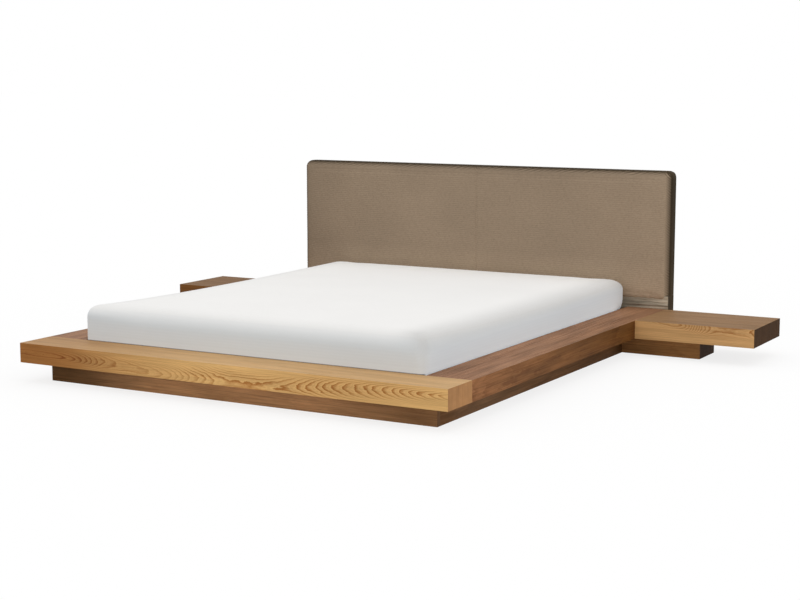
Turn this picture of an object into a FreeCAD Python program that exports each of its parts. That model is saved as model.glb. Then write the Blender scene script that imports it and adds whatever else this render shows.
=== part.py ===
import FreeCAD, Part
import math
import os
from FreeCAD import Vector

# A low platform bed: hollow veneered rails on a set-back plinth, a sprung slat deck on a centre beam,
# a loose mattress, a padded headboard, and a nightstand growing out of each side rail.
# Millimetres, +X to the right for someone at the foot, +Y towards the headboard, +Z up.
# The origin is on the floor under the middle of the whole bed.

# Mattress
mattress_width = 1600.0
mattress_length = 2000.0
mattress_thickness = 165.0
mattress_crown = 7.0
mattress_edge_radius = 54.0
mattress_rim_cover = 3.0
mattress_side_play = 10.0
mattress_end_play = 5.0
mattress_sink = 30.0

# Rails around the mattress
rail_width = 190.0
rail_height = 82.0
rail_wall = 18.0
rail_end_block_length = 60.0
head_rail_thickness = 25.0
head_rail_drop = 4.0

# Plinth under the rails
plinth_height = 83.0
plinth_inset = 90.0
plinth_board_thickness = 22.0
plinth_corner_block_size = 45.0
plinth_corner_block_bevel = 30.0

# Nightstands and the base under each one
nightstand_width = 550.0
nightstand_depth = 388.0
nightstand_wall = 18.0
nightstand_bearer_width = 45.0
nightstand_bearer_reach = 420.0
nightstand_bearer_inset = 60.0
nightstand_base_reach = 370.0
nightstand_base_depth = 200.0
nightstand_base_setback = 78.0
nightstand_base_wall = 18.0

# Headboard
headboard_overhang = 8.0
headboard_top = 806.0
headboard_thickness = 85.0
headboard_corner_radius = 30.0
headboard_edge_radius = 24.0
headboard_pad_lift = 29.0
headboard_pad_proud = 8.0
headboard_skirt_tuck = 6.0
headboard_rim_cover = 2.0
headboard_foam_depth = 34.0
headboard_panel_thickness = 6.0
headboard_batten_width = 60.0
headboard_lining_thickness = 1.5
headboard_leg_width = 60.0
headboard_leg_depth = 50.0
headboard_leg_inset = 210.0
headboard_leg_taper = 10.0
headboard_tenon_width = 40.0
headboard_tenon_depth = 20.0
headboard_tenon_height = 45.0

# Sprung slats and their holders
slat_count = 14
slat_width = 63.0
slat_thickness = 8.0
slat_crown = 9.0
slat_grip = 35.0
holder_floor = 4.0
holder_lip = 4.5
holder_wall = 3.5
holder_bevel = 2.0
holder_peg_size = 7.0
holder_peg_length = 10.0

# Ledgers, centre beam, hangers, legs and levelling feet
ledger_width = 42.0
ledger_height = 30.0
beam_width = 84.0
beam_height = 50.0
hanger_plate = 2.5
hanger_length = 50.0
hanger_flange = 28.0
hanger_flange_height = 26.0
hanger_flange_lift = 4.0
leg_count = 3
leg_size = 50.0
leg_taper = 7.0
leg_tenon_size = 28.0
leg_tenon_height = 20.0
leg_floor_gap = 14.0
foot_pad_radius = 19.0
foot_pad_height = 5.0
foot_pad_taper = 3.0
foot_neck_radius = 7.0
foot_neck_height = 2.5
foot_stud_radius = 4.0
foot_stud_length = 30.0
foot_travel = 6.0

# Brackets, bolts and loose tenons
bracket_leg = 50.0
bracket_height = 40.0
bracket_lift = 4.0
bracket_plate = 2.5
bracket_bend_radius = 6.0
bracket_bolt_offset = 30.0
bolt_radius = 4.0
bolt_head_radius = 7.5
bolt_head_height = 5.0
rail_tenon_width = 40.0
rail_tenon_thickness = 12.0
rail_tenon_length = 28.0
rail_tenon_offset = 38.0

# Clearances and the overrun of every cut
soft_clearance = 0.3
fit_clearance = 0.3
hole_clearance = 0.3
tenon_clearance = 0.1
running_clearance = 0.05
peg_clearance = 0.15
overrun = 5.0
match_tolerance = 0.001

# The deepest a square inner edge can lie under a rounded rim, as a share of the rim's radius
rim_share = 1 - math.sqrt(0.5)
mattress_core_inset = mattress_edge_radius * rim_share + mattress_rim_cover
headboard_foam_inset = headboard_edge_radius * rim_share + headboard_rim_cover

# Heights
rail_bottom = plinth_height
rail_top = rail_bottom + rail_height
rail_middle = rail_bottom + rail_height / 2
mattress_bottom = rail_top - mattress_sink
mattress_top = mattress_bottom + mattress_thickness
slat_end_bottom = mattress_bottom - soft_clearance - slat_crown - slat_thickness
ledger_top = slat_end_bottom - fit_clearance - holder_floor
holder_top = slat_end_bottom + slat_thickness + holder_lip
head_rail_top = mattress_bottom - head_rail_drop
pad_bottom = rail_top + headboard_pad_lift
bracket_middle = rail_bottom + bracket_lift + bracket_height / 2
beam_bottom = ledger_top - beam_height

# Places across the bed
recess_half = mattress_width / 2 + mattress_side_play
bed_half = recess_half + rail_width
plinth_half = bed_half - plinth_inset
headboard_half = bed_half + headboard_overhang
headboard_leg_x = plinth_half - headboard_leg_inset
rail_middle_x = recess_half + rail_width / 2
slat_outer_x = recess_half - holder_wall - fit_clearance
slat_inner_x = holder_wall / 2 + fit_clearance

# Places along the bed
recess_length = mattress_length + 2 * mattress_end_play
overall_length = rail_width + recess_length + headboard_thickness
foot_y = -overall_length / 2
recess_y = foot_y + rail_width
pad_y = recess_y + recess_length
skirt_y = pad_y + headboard_pad_proud
back_y = pad_y + headboard_thickness
panel_y = pad_y + headboard_foam_depth
batten_y = panel_y + headboard_panel_thickness
lining_y = back_y - headboard_lining_thickness
head_rail_y = skirt_y - head_rail_thickness
plinth_front_y = foot_y + plinth_inset
plinth_side_start_y = plinth_front_y + plinth_board_thickness
plinth_side_end_y = skirt_y - plinth_board_thickness
nightstand_front_y = pad_y - nightstand_depth
base_front_y = nightstand_front_y + nightstand_base_setback

# The slat deck runs between the corner brackets
holder_half_width = slat_width / 2 + fit_clearance + holder_wall
deck_start_y = recess_y + bracket_leg + fit_clearance
deck_end_y = head_rail_y - bracket_leg - fit_clearance
slat_first_y = deck_start_y + holder_half_width
slat_pitch = (deck_end_y - deck_start_y - 2 * holder_half_width) / (slat_count - 1)
slat_places = [slat_first_y + slat_pitch * number for number in range(slat_count)]

# The legs share out the length of the beam
leg_spacing = (head_rail_y - recess_y) / (leg_count + 1)
leg_places = [recess_y + leg_spacing * number for number in range(1, leg_count + 1)]

to_right = Vector(1, 0, 0)
to_left = Vector(-1, 0, 0)
to_head = Vector(0, 1, 0)
to_foot = Vector(0, -1, 0)
upward = Vector(0, 0, 1)
downward = Vector(0, 0, -1)


def block(x_span, y_span, z_span):
    """A box between the low and high place on each axis."""
    sizes = [span[1] - span[0] for span in (x_span, y_span, z_span)]
    return Part.makeBox(*sizes, Vector(x_span[0], y_span[0], z_span[0]))


def middle_span(middle, half):
    """A span that reaches half to either side of a middle."""
    return (middle - half, middle + half)


def outline_face(points):
    """A flat face inside straight edges through the points."""
    return Part.Face(Part.makePolygon(points + points[:1]))


def closed_face(edges):
    """A flat face inside edges given in any order."""
    return Part.Face(Part.Wire(Part.sortEdges(edges)[0]))


def mirrored(shape):
    """The same piece on the left-hand side of the bed."""
    return shape.mirror(Vector(0, 0, 0), to_right)


def both_sides(shapes):
    """Right-hand pieces together with their left-hand copies."""
    return shapes + [mirrored(shape) for shape in shapes]


def group(shapes):
    """Separate solids that share one node."""
    return Part.makeCompound(shapes)


def shelled(solid, wall, openings):
    """A board casing with its walls inside the solid, open on the faces that look along openings."""
    faces = []
    for face in solid.Faces:
        if any(face.normalAt(0, 0).isEqual(way, match_tolerance) for way in openings):
            faces.append(face)
    return solid.makeThickness(faces, -wall, match_tolerance)


def placed(shape, seat, way):
    """A shape made along +Z, moved to a seat and turned along way."""
    shape.Placement = FreeCAD.Placement(seat, FreeCAD.Rotation(upward, way))
    return shape


def hexagon_wire(radius, height):
    """A level six-sided outline about the Z axis."""
    angles = [math.pi * corner / 3 for corner in range(7)]
    corners = [Vector(math.cos(angle), math.sin(angle), 0) * radius for angle in angles]
    return Part.makePolygon([corner + upward * height for corner in corners])


def hexagon(low_radius, high_radius, low, high):
    """A six-sided block about the Z axis, tapered where its radii differ."""
    return Part.makeLoft([hexagon_wire(low_radius, low), hexagon_wire(high_radius, high)], True, True)


def bolt(seat, way, length):
    """A hexagon bolt whose head rests on the seat and whose shank runs along way."""
    shank = Part.makeCylinder(bolt_radius, length)
    return placed(shank.fuse(hexagon(bolt_head_radius, bolt_head_radius, -bolt_head_height, 0)), seat, way)


def bolt_hole(seat, way, length):
    """The clearance hole for a bolt, from just before its seat to just past its tip."""
    hole = Part.makeCylinder(bolt_radius + hole_clearance, length + 2 * overrun, Vector(0, 0, -overrun))
    return placed(hole, seat, way)


def mattress_profile(inset):
    """Cross-section of the mattress: flat underside, upright sides and a crowned top, with tangent rounds."""
    half = mattress_width / 2 - inset
    radius = mattress_edge_radius - inset
    low = mattress_bottom + inset
    crown_top = mattress_top - inset
    crown_radius = (half**2 + mattress_crown**2) / (2 * mattress_crown)
    crown_middle = Vector(0, 0, crown_top - crown_radius)
    round_x = half - radius
    round_rise = math.sqrt((crown_radius - radius) ** 2 - round_x**2)
    top_middle = crown_middle + Vector(round_x, 0, round_rise)
    bottom_middle = Vector(round_x, 0, low + radius)
    lean = (top_middle - crown_middle).normalize()
    upper_turn = (lean + to_right).normalize()
    lower_turn = (to_right + downward).normalize()
    bottom = bottom_middle + downward * radius
    low_side = bottom_middle + to_right * radius
    high_side = top_middle + to_right * radius
    shoulder = top_middle + lean * radius
    right = [
        Part.Arc(bottom, bottom_middle + lower_turn * radius, low_side).toShape(),
        Part.LineSegment(low_side, high_side).toShape(),
        Part.Arc(high_side, top_middle + upper_turn * radius, shoulder).toShape(),
    ]
    underside = Part.LineSegment(Vector(-bottom.x, 0, low), bottom).toShape()
    crown = Part.Arc(Vector(-shoulder.x, 0, shoulder.z), Vector(0, 0, crown_top), shoulder).toShape()
    return closed_face(both_sides(right) + [underside, crown])


def mattress_prism(inset):
    """The mattress cross-section run from end to end, shrunk by inset on every side."""
    prism = mattress_profile(inset).extrude(Vector(0, mattress_length - 2 * inset, 0))
    prism.translate(Vector(0, recess_y + mattress_end_play + inset, 0))
    return prism


def mattress_cover():
    """The quilted cover, rounded over at both ends and hollow for the foam."""
    prism = mattress_prism(0)
    rims = [edge for edge in prism.Edges if edge.BoundBox.YLength < match_tolerance]
    return prism.makeFillet(mattress_edge_radius, rims).cut(mattress_prism(mattress_core_inset))


def mattress_core():
    """The foam block inside the cover."""
    return mattress_prism(mattress_core_inset + soft_clearance)


def foot_rail():
    """The box-section rail across the foot, with holes for the brackets and mortises for the tenons."""
    tube = block((rail_wall - bed_half, bed_half - rail_wall), (foot_y, recess_y), (rail_bottom, rail_top))
    tube = shelled(tube, rail_wall, (to_left, to_right))
    return tube.cut(group(both_sides(bracket_holes() + rail_tenon_pieces(tenon_clearance))))


def foot_rail_end_caps():
    """The veneered caps that close the foot rail."""
    cap = block((bed_half - rail_wall, bed_half), (foot_y, recess_y), (rail_bottom, rail_top))
    return group(both_sides([cap]))


def side_rail():
    """The right-hand box-section rail, from the foot rail to the headboard."""
    tube = block((recess_half, bed_half), (recess_y, skirt_y), (rail_bottom, rail_top))
    tube = shelled(tube, rail_wall, (to_foot, to_head))
    return tube.cut(group(bracket_holes() + bearer_pieces(tenon_clearance)))


def rail_end_blocks():
    """Solid blocks glued into both ends of each side rail."""
    x_span = (recess_half + rail_wall, bed_half - rail_wall)
    z_span = (rail_bottom + rail_wall, rail_top - rail_wall)
    foot_block = block(x_span, (recess_y, recess_y + rail_end_block_length), z_span)
    foot_block = foot_block.cut(group(rail_tenon_pieces(tenon_clearance)))
    head_block = block(x_span, (skirt_y - rail_end_block_length, skirt_y), z_span)
    return group(both_sides([foot_block, head_block]))


def rail_tenon_pieces(grow):
    """The loose tenons of the right-hand rail joint, or their mortises when they are grown."""
    y_span = middle_span(recess_y, rail_tenon_length / 2 + grow)
    z_span = middle_span(rail_middle, rail_tenon_thickness / 2 + grow)
    half = rail_tenon_width / 2 + grow
    middles = [rail_middle_x + way * rail_tenon_offset for way in (-1, 1)]
    return [block(middle_span(middle, half), y_span, z_span) for middle in middles]


def rail_tenons():
    """The loose tenons between both side rails and the foot rail."""
    return group(both_sides(rail_tenon_pieces(0)))


def head_rail():
    """The cross board between the side rails at the head, below the mattress."""
    board = block((-recess_half, recess_half), (head_rail_y, skirt_y), (rail_bottom, head_rail_top))
    return board.cut(group(both_sides(bracket_holes())))


def front_plinth():
    """The plinth board set back under the foot rail."""
    return block((-plinth_half, plinth_half), (plinth_front_y, plinth_side_start_y), (0, plinth_height))


def rear_plinth():
    """The plinth board under the head rail, with holes for the bolts of the headboard legs."""
    board = block((-plinth_half, plinth_half), (plinth_side_end_y, skirt_y), (0, plinth_height))
    return board.cut(group(both_sides(headboard_bolt_holes())))


def side_plinth():
    """The right-hand plinth board, between the front and rear boards."""
    x_span = (plinth_half - plinth_board_thickness, plinth_half)
    return block(x_span, (plinth_side_start_y, plinth_side_end_y), (0, plinth_height))


def plinth_corner_blocks():
    """Bevelled glue blocks in the inner corners of the plinth."""
    corner_x = plinth_half - plinth_board_thickness
    near_x = corner_x - plinth_corner_block_size
    bevel_x = near_x + plinth_corner_block_bevel
    blocks = []
    for corner_y, way in ((plinth_side_start_y, 1), (plinth_side_end_y, -1)):
        far_y = corner_y + way * plinth_corner_block_size
        bevel_y = far_y - way * plinth_corner_block_bevel
        outline = [(corner_x, corner_y), (near_x, corner_y), (near_x, bevel_y)]
        outline += [(bevel_x, far_y), (corner_x, far_y)]
        face = outline_face([Vector(x, y, 0) for x, y in outline])
        blocks.append(face.extrude(Vector(0, 0, plinth_height)))
    return group(both_sides(blocks))


def nightstand():
    """The right-hand nightstand slab, a casing that is open where it meets the side rail."""
    x_span = (bed_half, bed_half + nightstand_width)
    slab = block(x_span, (nightstand_front_y, pad_y), (rail_bottom, rail_top))
    return shelled(slab, nightstand_wall, (to_left,))


def bearer_pieces(grow):
    """The bearers from the right-hand rail into its nightstand, or their slots when they are grown."""
    x_span = (recess_half + rail_wall, bed_half + nightstand_bearer_reach)
    z_span = (rail_bottom + rail_wall - grow, rail_top - rail_wall + grow)
    half = nightstand_bearer_width / 2 + grow
    inset = nightstand_wall + nightstand_bearer_inset + nightstand_bearer_width / 2
    middles = (nightstand_front_y + inset, pad_y - inset)
    return [block(x_span, middle_span(middle, half), z_span) for middle in middles]


def nightstand_bearers():
    """The timber bearers that both nightstands slide over."""
    return group(both_sides(bearer_pieces(0)))


def nightstand_base():
    """The right-hand base on the floor, a box that is open underneath, with a rib across its middle."""
    x_span = (plinth_half, plinth_half + nightstand_base_reach)
    y_span = (base_front_y, base_front_y + nightstand_base_depth)
    solid = block(x_span, y_span, (0, plinth_height))
    rib_x = middle_span(sum(x_span) / 2, nightstand_base_wall / 2)
    rib = block(rib_x, y_span, (0, plinth_height))
    return shelled(solid, nightstand_base_wall, (downward,)).fuse(rib).removeSplitter()


def headboard_pad(inset):
    """The block of the padded part with rounded corners, shrunk by inset on all sides but its back."""
    half = headboard_half - inset
    pad = block((-half, half), (pad_y + inset, back_y), (pad_bottom + inset, headboard_top - inset))
    corners = [edge for edge in pad.Edges if edge.BoundBox.YLength > match_tolerance]
    return pad.makeFillet(headboard_corner_radius - inset, corners)


def headboard_skirt(inset):
    """The flat strip below the padded part, which reaches up into it."""
    half = headboard_half - headboard_skirt_tuck - inset
    top = pad_bottom + headboard_corner_radius
    return block((-half, half), (skirt_y + inset, back_y), (rail_bottom + inset, top))


def headboard_hollow():
    """The space inside the headboard's cover."""
    return headboard_pad(headboard_foam_inset).fuse(headboard_skirt(headboard_foam_inset)).removeSplitter()


def headboard_layer(y_span):
    """A slice of the space inside the headboard's cover."""
    half = headboard_half
    return headboard_hollow().common(block((-half, half), y_span, (rail_bottom, headboard_top)))


def headboard_cover():
    """The fabric and its wadding over the front, top, sides and lower edge, open at the back."""
    pad = headboard_pad(0)
    rim = [edge for edge in pad.Edges if edge.BoundBox.YMax < pad_y + match_tolerance]
    pad = pad.makeFillet(headboard_edge_radius, rim)
    skin = pad.fuse(headboard_skirt(0)).cut(headboard_hollow())
    return skin.cut(group(both_sides([headboard_tenon(tenon_clearance)])))


def headboard_foam():
    """The padding between the cover and the panel."""
    return headboard_layer((pad_y, panel_y))


def headboard_panel():
    """The plywood panel that carries the padding."""
    return headboard_layer((panel_y, batten_y))


def headboard_battens():
    """The timber frame behind the panel: two rails and three stiles."""
    y_span = (batten_y, lining_y)
    layer = headboard_layer(y_span)
    half = headboard_half
    side_x = half - headboard_foam_inset - headboard_skirt_tuck - headboard_batten_width
    low = rail_bottom + headboard_foam_inset + headboard_batten_width
    high = headboard_top - headboard_foam_inset - headboard_batten_width
    centre_half = headboard_batten_width / 2
    places = [
        ((-half, half), (rail_bottom, low)),
        ((-half, half), (high, headboard_top)),
        ((-half, -side_x), (low, high)),
        ((-centre_half, centre_half), (low, high)),
        ((side_x, half), (low, high)),
    ]
    battens = [layer.common(block(x_span, y_span, z_span)) for x_span, z_span in places]
    battens[0] = battens[0].cut(group(both_sides([headboard_tenon(tenon_clearance)])))
    return group(battens)


def headboard_lining():
    """The dust cloth over the back."""
    return headboard_layer((lining_y, back_y))


def headboard_leg_y_span():
    """The headboard legs stand behind the rear plinth, against it."""
    return (skirt_y, skirt_y + headboard_leg_depth)


def headboard_tenon(grow):
    """The stub on top of the right-hand headboard leg, or its mortise when it is grown."""
    x_span = middle_span(headboard_leg_x, headboard_tenon_width / 2 + grow)
    far_y = skirt_y + headboard_leg_depth
    y_span = (max(batten_y, far_y - headboard_tenon_depth) - grow, far_y + grow)
    return block(x_span, y_span, (rail_bottom, rail_bottom + headboard_tenon_height + grow))


def headboard_leg():
    """A tapered leg on the floor under the headboard, with a tenon up into the lower batten."""
    half = headboard_leg_width / 2
    low_half = half - headboard_leg_taper
    outline = [(-low_half, 0), (low_half, 0), (half, plinth_height), (-half, plinth_height)]
    near_y, far_y = headboard_leg_y_span()
    face = outline_face([Vector(headboard_leg_x + x, near_y, z) for x, z in outline])
    leg = face.extrude(Vector(0, far_y - near_y, 0)).fuse(headboard_tenon(0))
    return leg.cut(group(headboard_bolt_holes()))


def headboard_bolt_seat():
    """Where the right-hand headboard bolt seats, inside the plinth."""
    return Vector(headboard_leg_x, plinth_side_end_y, plinth_height / 2)


def headboard_bolt_length():
    """A headboard bolt goes through the rear plinth and the leg, flush with the leg's back."""
    return plinth_board_thickness + headboard_leg_depth


def headboard_bolt_holes():
    """The hole for the right-hand headboard bolt."""
    return [bolt_hole(headboard_bolt_seat(), to_head, headboard_bolt_length())]


def headboard_bolts():
    """The bolts that hold the headboard legs to the rear plinth."""
    return group(both_sides([bolt(headboard_bolt_seat(), to_head, headboard_bolt_length())]))


def slat_solid(middle_y, grow):
    """A right-hand bowed strip of laminated wood; grow widens it all round for the pockets it fits."""
    low_x = slat_inner_x - grow
    high_x = slat_outer_x + grow
    middle_x = (low_x + high_x) / 2
    edges = []
    heights = (slat_end_bottom - grow, slat_end_bottom + slat_thickness + grow)
    for height in heights:
        bow = Vector(middle_x, 0, height + slat_crown)
        edges.append(Part.Arc(Vector(low_x, 0, height), bow, Vector(high_x, 0, height)).toShape())
    for x in (low_x, high_x):
        edges.append(Part.LineSegment(Vector(x, 0, heights[0]), Vector(x, 0, heights[1])).toShape())
    strip = closed_face(edges).extrude(Vector(0, slat_width + 2 * grow, 0))
    strip.translate(Vector(0, middle_y - slat_width / 2 - grow, 0))
    return strip


def slat_pair(middle_y):
    """The two slats that cross the bed at one place, one on each side of the beam."""
    return group(both_sides([slat_solid(middle_y, 0)]))


def holder_body(x_span, middle_y, peg_x):
    """A moulded slat holder with bevelled top edges and a square peg below."""
    body = block(x_span, middle_span(middle_y, holder_half_width), (ledger_top, holder_top))
    rim = [edge for edge in body.Edges if edge.BoundBox.ZMin > holder_top - match_tolerance]
    return body.makeChamfer(holder_bevel, rim).fuse(holder_peg(peg_x, middle_y, 0))


def holder_peg(peg_x, middle_y, grow):
    """The square peg under a holder, or the mortise for it when it is grown."""
    half = holder_peg_size / 2 + grow
    bottom = ledger_top - holder_peg_length - grow
    return block(middle_span(peg_x, half), middle_span(middle_y, half), (bottom, ledger_top))


def end_holder_peg_x():
    """The line of the end holders' pegs, along the middle of the ledger."""
    return recess_half - ledger_width / 2


def end_holders():
    """The right-hand row of holders, one for the outer end of each slat."""
    holders = []
    for middle_y in slat_places:
        body = holder_body((slat_outer_x - slat_grip, recess_half), middle_y, end_holder_peg_x())
        holders.append(body.cut(slat_solid(middle_y, fit_clearance)))
    return group(holders)


def centre_holders():
    """The row of double holders on the beam, each for the inner ends of two slats."""
    reach = slat_inner_x + slat_grip
    holders = []
    for middle_y in slat_places:
        pockets = group(both_sides([slat_solid(middle_y, fit_clearance)]))
        holders.append(holder_body((-reach, reach), middle_y, 0).cut(pockets))
    return group(holders)


def slat_ledger():
    """The right-hand ledger along the rail, with a mortise for each holder."""
    x_span = (recess_half - ledger_width, recess_half)
    strip = block(x_span, (deck_start_y, deck_end_y), (ledger_top - ledger_height, ledger_top))
    mortises = [holder_peg(end_holder_peg_x(), middle_y, peg_clearance) for middle_y in slat_places]
    return strip.cut(group(mortises))


def centre_beam():
    """The beam under the middle of the slats, with mortises for the holders above and the legs below."""
    beam = block(middle_span(0, beam_width / 2), (recess_y, head_rail_y), (beam_bottom, ledger_top))
    mortises = [holder_peg(0, middle_y, peg_clearance) for middle_y in slat_places]
    mortises += [leg_tenon(middle_y, tenon_clearance) for middle_y in leg_places]
    return beam.cut(group(mortises))


def beam_hanger(seat_y, way):
    """A pressed steel saddle: a channel under the beam and a flange on each side against the rail."""
    half = beam_width / 2
    outer = half + hanger_plate
    near_y, far_y = sorted((seat_y, seat_y + way.y * hanger_length))
    flange_y = sorted((seat_y, seat_y + way.y * hanger_plate))
    low = rail_bottom + hanger_flange_lift
    high = low + hanger_flange_height
    channel = block((-outer, outer), (near_y, far_y), (beam_bottom - hanger_plate, high))
    channel = channel.cut(block((-half, half), (near_y, far_y), (beam_bottom, high + overrun)))
    flange = block((outer, outer + hanger_flange), flange_y, (low, high))
    return channel.fuse(both_sides([flange])).removeSplitter()


def leg_tenon(middle_y, grow):
    """The stub on top of a leg, or its mortise in the beam when it is grown."""
    half = leg_tenon_size / 2 + grow
    z_span = (beam_bottom, beam_bottom + leg_tenon_height + grow)
    return block(middle_span(0, half), middle_span(middle_y, half), z_span)


def square_wire(half, middle_y, height):
    """A level square outline around a leg."""
    corners = ((-half, -half), (half, -half), (half, half), (-half, half), (-half, -half))
    return Part.makePolygon([Vector(x, middle_y + y, height) for x, y in corners])


def centre_leg(middle_y):
    """A short tapered leg with a tenon on top and a bore for its levelling foot."""
    half = leg_size / 2
    top = square_wire(half, middle_y, beam_bottom)
    bottom = square_wire(half - leg_taper, middle_y, leg_floor_gap)
    leg = Part.makeLoft([bottom, top], True, True).fuse(leg_tenon(middle_y, 0))
    bore_bottom = leg_floor_gap - overrun
    bore_top = foot_pad_height + foot_neck_height + foot_stud_length + foot_travel + fit_clearance
    bore_radius = foot_stud_radius + running_clearance
    return leg.cut(Part.makeCylinder(bore_radius, bore_top - bore_bottom, Vector(0, middle_y, bore_bottom)))


def levelling_foot(middle_y):
    """A levelling foot: a tapered six-sided pad, a neck for a spanner, and a stud."""
    shoulder = foot_pad_height + foot_neck_height
    pad = hexagon(foot_pad_radius, foot_pad_radius - foot_pad_taper, 0, foot_pad_height)
    neck = hexagon(foot_neck_radius, foot_neck_radius, foot_pad_height, shoulder)
    stud = Part.makeCylinder(foot_stud_radius, foot_stud_length, Vector(0, 0, shoulder))
    foot = pad.fuse([neck, stud]).removeSplitter()
    foot.translate(Vector(0, middle_y, 0))
    return foot


def bracket_seats():
    """Seat and direction of each bracket bolt on the right-hand side of the bed."""
    seats = []
    for rail_y, way in ((recess_y, to_foot), (head_rail_y, to_head)):
        cross_y = rail_y - way.y * bracket_plate
        along_y = rail_y - way.y * bracket_bolt_offset
        seats.append((Vector(recess_half - bracket_bolt_offset, cross_y, bracket_middle), way))
        seats.append((Vector(recess_half - bracket_plate, along_y, bracket_middle), to_right))
    return seats


def bracket_bolt_length():
    """A bracket bolt goes through the plate and one wall of a rail."""
    return bracket_plate + rail_wall


def bracket_holes():
    """The holes for the bracket bolts of the right-hand side."""
    return [bolt_hole(seat, way, bracket_bolt_length()) for seat, way in bracket_seats()]


def bracket_bolts():
    """The bolts of all four corner brackets."""
    return group(both_sides([bolt(seat, way, bracket_bolt_length()) for seat, way in bracket_seats()]))


def corner_bracket(rail_y, way):
    """An angle bracket bent from plate, in a right-hand corner of the mattress recess."""
    far_y = rail_y - way.y * bracket_leg
    inner_y = rail_y - way.y * bracket_plate
    far_x = recess_half - bracket_leg
    inner_x = recess_half - bracket_plate
    outline = [(recess_half, rail_y), (recess_half, far_y), (inner_x, far_y)]
    outline += [(inner_x, inner_y), (far_x, inner_y), (far_x, rail_y)]
    face = outline_face([Vector(x, y, rail_bottom + bracket_lift) for x, y in outline])
    angle = face.extrude(Vector(0, 0, bracket_height))
    inside = Vector(inner_x, inner_y, bracket_middle)
    bend = [edge for edge in angle.Edges if edge.CenterOfMass.isEqual(inside, match_tolerance)]
    return angle.makeFillet(bracket_bend_radius, bend).cut(group(bracket_holes()))


def corner_brackets():
    """The four steel angles that draw the rails together."""
    return group(both_sides([corner_bracket(recess_y, to_foot), corner_bracket(head_rail_y, to_head)]))


def bed_pieces():
    """Every piece of the bed by its node name."""
    pieces = {
        "foot_rail": foot_rail(),
        "foot_rail_end_caps": foot_rail_end_caps(),
        "head_rail": head_rail(),
        "rail_end_blocks": rail_end_blocks(),
        "rail_tenons": rail_tenons(),
        "corner_brackets": corner_brackets(),
        "bracket_bolts": bracket_bolts(),
        "front_plinth": front_plinth(),
        "rear_plinth": rear_plinth(),
        "plinth_corner_blocks": plinth_corner_blocks(),
        "nightstand_bearers": nightstand_bearers(),
        "headboard_cover": headboard_cover(),
        "headboard_foam": headboard_foam(),
        "headboard_panel": headboard_panel(),
        "headboard_battens": headboard_battens(),
        "headboard_lining": headboard_lining(),
        "headboard_bolts": headboard_bolts(),
        "mattress_cover": mattress_cover(),
        "mattress_core": mattress_core(),
        "centre_slat_holders": centre_holders(),
        "centre_beam": centre_beam(),
        "centre_legs": group([centre_leg(middle_y) for middle_y in leg_places]),
        "foot_beam_hanger": beam_hanger(recess_y, to_head),
        "head_beam_hanger": beam_hanger(head_rail_y, to_foot),
    }
    handed = {
        "side_rail": side_rail(),
        "side_plinth": side_plinth(),
        "nightstand": nightstand(),
        "nightstand_base": nightstand_base(),
        "headboard_leg": headboard_leg(),
        "slat_ledger": slat_ledger(),
        "slat_holders": end_holders(),
    }
    for name, shape in handed.items():
        pieces["right_" + name] = shape
        pieces["left_" + name] = mirrored(shape)
    for number, middle_y in enumerate(slat_places, start=1):
        pieces[f"slat_pair_{number:02d}"] = slat_pair(middle_y)
    for number, middle_y in enumerate(leg_places, start=1):
        pieces[f"levelling_foot_{number}"] = levelling_foot(middle_y)
    return pieces


def main():
    """Write one STEP file for each piece."""
    os.makedirs("parts", exist_ok=True)
    for name, shape in bed_pieces().items():
        shape.exportStep(f"parts/{name}.step")
        print(name, len(shape.Solids), shape.isValid())


main()
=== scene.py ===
"""Looks of the platform bed: veneers, upholstery, mattress, slat deck, studio and camera.

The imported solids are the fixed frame. Hard pieces keep their solids and get their finishes here. The soft
pieces are made in mesh code and stand for their plain solids. Cloth simulation swells the mattress and the
headboard's pad. Metres, +X to the right for someone at the foot, +Y towards the headboard, +Z up.
"""

import logging
import math
from collections.abc import Callable, Sequence
from dataclasses import dataclass, replace
from enum import Enum
from functools import partial, reduce

import bpy
import numpy as np
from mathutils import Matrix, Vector, noise


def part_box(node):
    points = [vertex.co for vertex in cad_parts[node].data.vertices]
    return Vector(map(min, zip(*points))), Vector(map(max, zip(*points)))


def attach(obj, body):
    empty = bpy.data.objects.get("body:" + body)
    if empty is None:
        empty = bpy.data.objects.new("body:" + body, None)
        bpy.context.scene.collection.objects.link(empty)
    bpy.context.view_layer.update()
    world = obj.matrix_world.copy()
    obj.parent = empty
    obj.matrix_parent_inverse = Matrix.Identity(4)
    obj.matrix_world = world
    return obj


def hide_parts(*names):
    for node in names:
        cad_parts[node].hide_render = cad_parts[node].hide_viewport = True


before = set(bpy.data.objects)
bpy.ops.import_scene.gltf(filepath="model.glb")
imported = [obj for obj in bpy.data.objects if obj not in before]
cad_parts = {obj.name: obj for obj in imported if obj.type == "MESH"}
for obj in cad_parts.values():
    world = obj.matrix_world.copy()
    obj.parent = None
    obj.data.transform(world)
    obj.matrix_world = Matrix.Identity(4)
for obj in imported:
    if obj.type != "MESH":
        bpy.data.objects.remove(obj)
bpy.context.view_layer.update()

LOG = logging.getLogger("platform_bed")
MM = 0.001

Feed = bpy.types.Node | bpy.types.NodeSocket | float | str | Sequence[float]
AddNode = Callable[..., bpy.types.Node]
Piece = bpy.types.Object
Triple = tuple[float, float, float]

# The range in which most values of a noise lie
NOISE_SPAN = (0.3, 0.7)
# Refraction of wood and of its lacquer
WOOD_IOR = 1.48
WHITE, PALE_FLOOR = "#ffffff", "#e7e6e4"
# Mesh lines in each round, and the settings of the cloth simulation
ROUND_LINES = 6
SWELL_FRAMES, SWELL_PRESSURE, SWELL_QUALITY = 20, 4.0, 4
# How far foam stands inside its solid, in metres
FOAM_EASE = 0.003


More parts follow.
